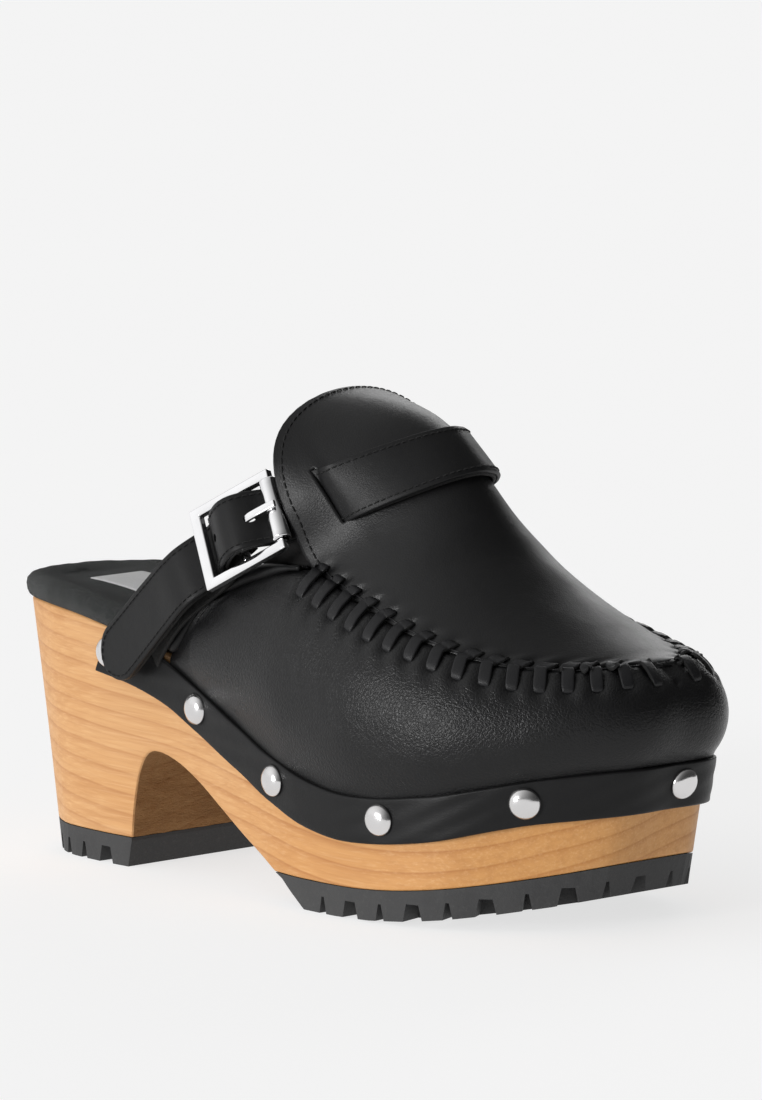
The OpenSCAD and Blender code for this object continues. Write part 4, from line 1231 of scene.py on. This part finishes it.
def buckle_roller():
    """A rolled tube with an open seam line and rounded ends."""
    end = [(9.3, 2.9), (9.7, 2.8), (9.9, 2.5), (9.9, 1.9)]
    prof = [(-y, r) for y, r in end[::-1]] + [(y, 2.9) for y in np.linspace(-8, 8, 9)] + end
    ang = np.linspace(0, 2 * math.pi, 40, endpoint=False)
    seam = np.exp(-((ang - 3.9) / 0.05) ** 2) * 0.22
    pts = []
    for y, r in prof:
        radius = r - (seam if r > 2.3 else 0 * seam)
        pts += [bp(REACH + q * math.cos(a), y, q * math.sin(a)) for q, a in zip(radius, ang)]
    metal_piece("roller_tube", np.array(pts), grid_faces(len(prof), 40, wrap_cols=True, wrap_rows=True),
                "roller", "buckle_roller", sharp=50)


def buckle_prong():
    """A flat bar rolled round the centre bar, its tip resting on the roller."""
    eye = np.array([bp(2.05 * math.cos(a), 0, 2.05 * math.sin(a))
                    for a in np.radians(np.linspace(-300, 0, 34))])
    line = [(2.05, -0.6), (2.35, 0.4), (3.3, 2.0), (4.8, 3.35), (6.6, 3.95), (9.0, 4.05), (11.5, 3.95),
            (14.0, 3.85), (16.4, 3.75)]
    stem = spline(np.array([bp(a, 0, c) for a, c in line]), np.linspace(0, 8, 60))
    thin = np.interp(np.linspace(0, 1, 60), [0, 0.8, 0.97, 1], [0.95, 0.95, 0.92, 0.8])
    parts = [sweep(eye, ACROSS + 0.001 * ALONG, oval(0.6, 1.2, 12, 3)),
             sweep(stem, OUTWARD, oval(1.25, 0.72, 20, 5.0), thin)]
    metal_piece("prong_wire", *joined(parts), "prong", "buckle_prong", sharp=50)


# ---------------------------------------------------------------------------
# Build
# ---------------------------------------------------------------------------

for build in (wooden_sole, suede_sock, sock_label, vamp, apron, topline_roll, lacing, rand_band, studs, strap,
              chape, buckle_ring, buckle_roller, buckle_prong):
    build()
for node, mat in (("forefoot_outsole", "rubber"), ("heel_toplift", "rubber"), ("outsole_nails", "dull"),
                  ("toplift_nails", "dull"), ("footbed_foam", "foam"), ("toe_puff", "stiff"),
                  ("lasting_tacks", "dull")):
    dress(node, mat)


# ---------------------------------------------------------------------------
# Floor, light and camera
# ---------------------------------------------------------------------------

def floor():
    size, n = 40.0, 9
    u = np.linspace(-size / 2, size / 2, n)
    pts = [(x, y, -0.00002) for x in u for y in u]
    mesh = bpy.data.meshes.new("floor")
    mesh.from_pydata(pts, [], grid_faces(n, n))
    obj = bpy.data.objects.new("floor", mesh)
    bpy.context.scene.collection.objects.link(obj)
    m = Nodes("floor_paper")
    tone = m.mix(m.noise(3, 3), (0.335, 0.335, 0.336), (0.345, 0.345, 0.345))
    m.set(color=tone, rough=1.0, spec=0.0)
    m.bsdf.inputs["Emission Color"].default_value = (1, 1, 1, 1)
    m.bsdf.inputs["Emission Strength"].default_value = 0.70
    obj.data.materials.append(m.mat)


def sun(name, towards, power, angle):
    data = bpy.data.lights.new(name, "SUN")
    data.energy, data.angle = power, math.radians(angle)
    obj = bpy.data.objects.new(name, data)
    bpy.context.scene.collection.objects.link(obj)
    obj.rotation_euler = Vector(towards).to_track_quat("Z", "Y").to_euler()


floor()
sun("key", (-0.06, -0.98, 0.15), 2.0, 22)
sun("rim", (-0.50, 0.78, 0.37), 0.46, 30)
world = bpy.data.worlds.new("studio")
bpy.context.scene.world = world
world.use_nodes = True
tree = world.node_tree
direction = tree.nodes.new("ShaderNodeTexCoord").outputs["Generated"]
lean = tree.nodes.new("ShaderNodeVectorMath")
lean.operation = "DOT_PRODUCT"
lean.inputs[1].default_value = (-0.66, -0.62, 0.42)
tree.links.new(direction, lean.inputs[0])
spread = tree.nodes.new("ShaderNodeMapRange")
tree.links.new(lean.outputs["Value"], spread.inputs["Value"])
spread.inputs["From Min"].default_value = -1.0
gather = tree.nodes.new("ShaderNodeMath")
gather.operation = "POWER"
gather.inputs[1].default_value = 2.6
tree.links.new(spread.outputs[0], gather.inputs[0])
level = tree.nodes.new("ShaderNodeMath")
level.operation = "MULTIPLY_ADD"
level.inputs[1].default_value, level.inputs[2].default_value = 1.0, 0.05
tree.links.new(gather.outputs[0], level.inputs[0])
tree.links.new(level.outputs[0], tree.nodes["Background"].inputs["Strength"])
tree.nodes["Background"].inputs["Color"].default_value = (1, 1, 1, 1)

bpy.context.scene.view_settings.view_transform = "Standard"
lens = bpy.data.cameras.new("camera")
lens.sensor_fit = "VERTICAL"
lens.sensor_height = 36.0
lens.lens = 271.5
lens.clip_end = 100
cam = bpy.data.objects.new("camera", lens)
bpy.context.scene.collection.objects.link(cam)
EYE = np.array([1900.5, -1670.5, 435.8])
VIEW_RIGHT, VIEW_UP, VIEW_BACK = (0.6882, 0.7255, 0.0), (-0.0992, 0.0941, 0.9906), (0.7187, -0.6817, 0.1367)
turn = Matrix((VIEW_RIGHT, VIEW_UP, VIEW_BACK)).transposed().to_4x4()
cam.matrix_world = Matrix.Translation(Vector(metres(EYE).tolist())) @ turn
bpy.context.scene.camera = cam
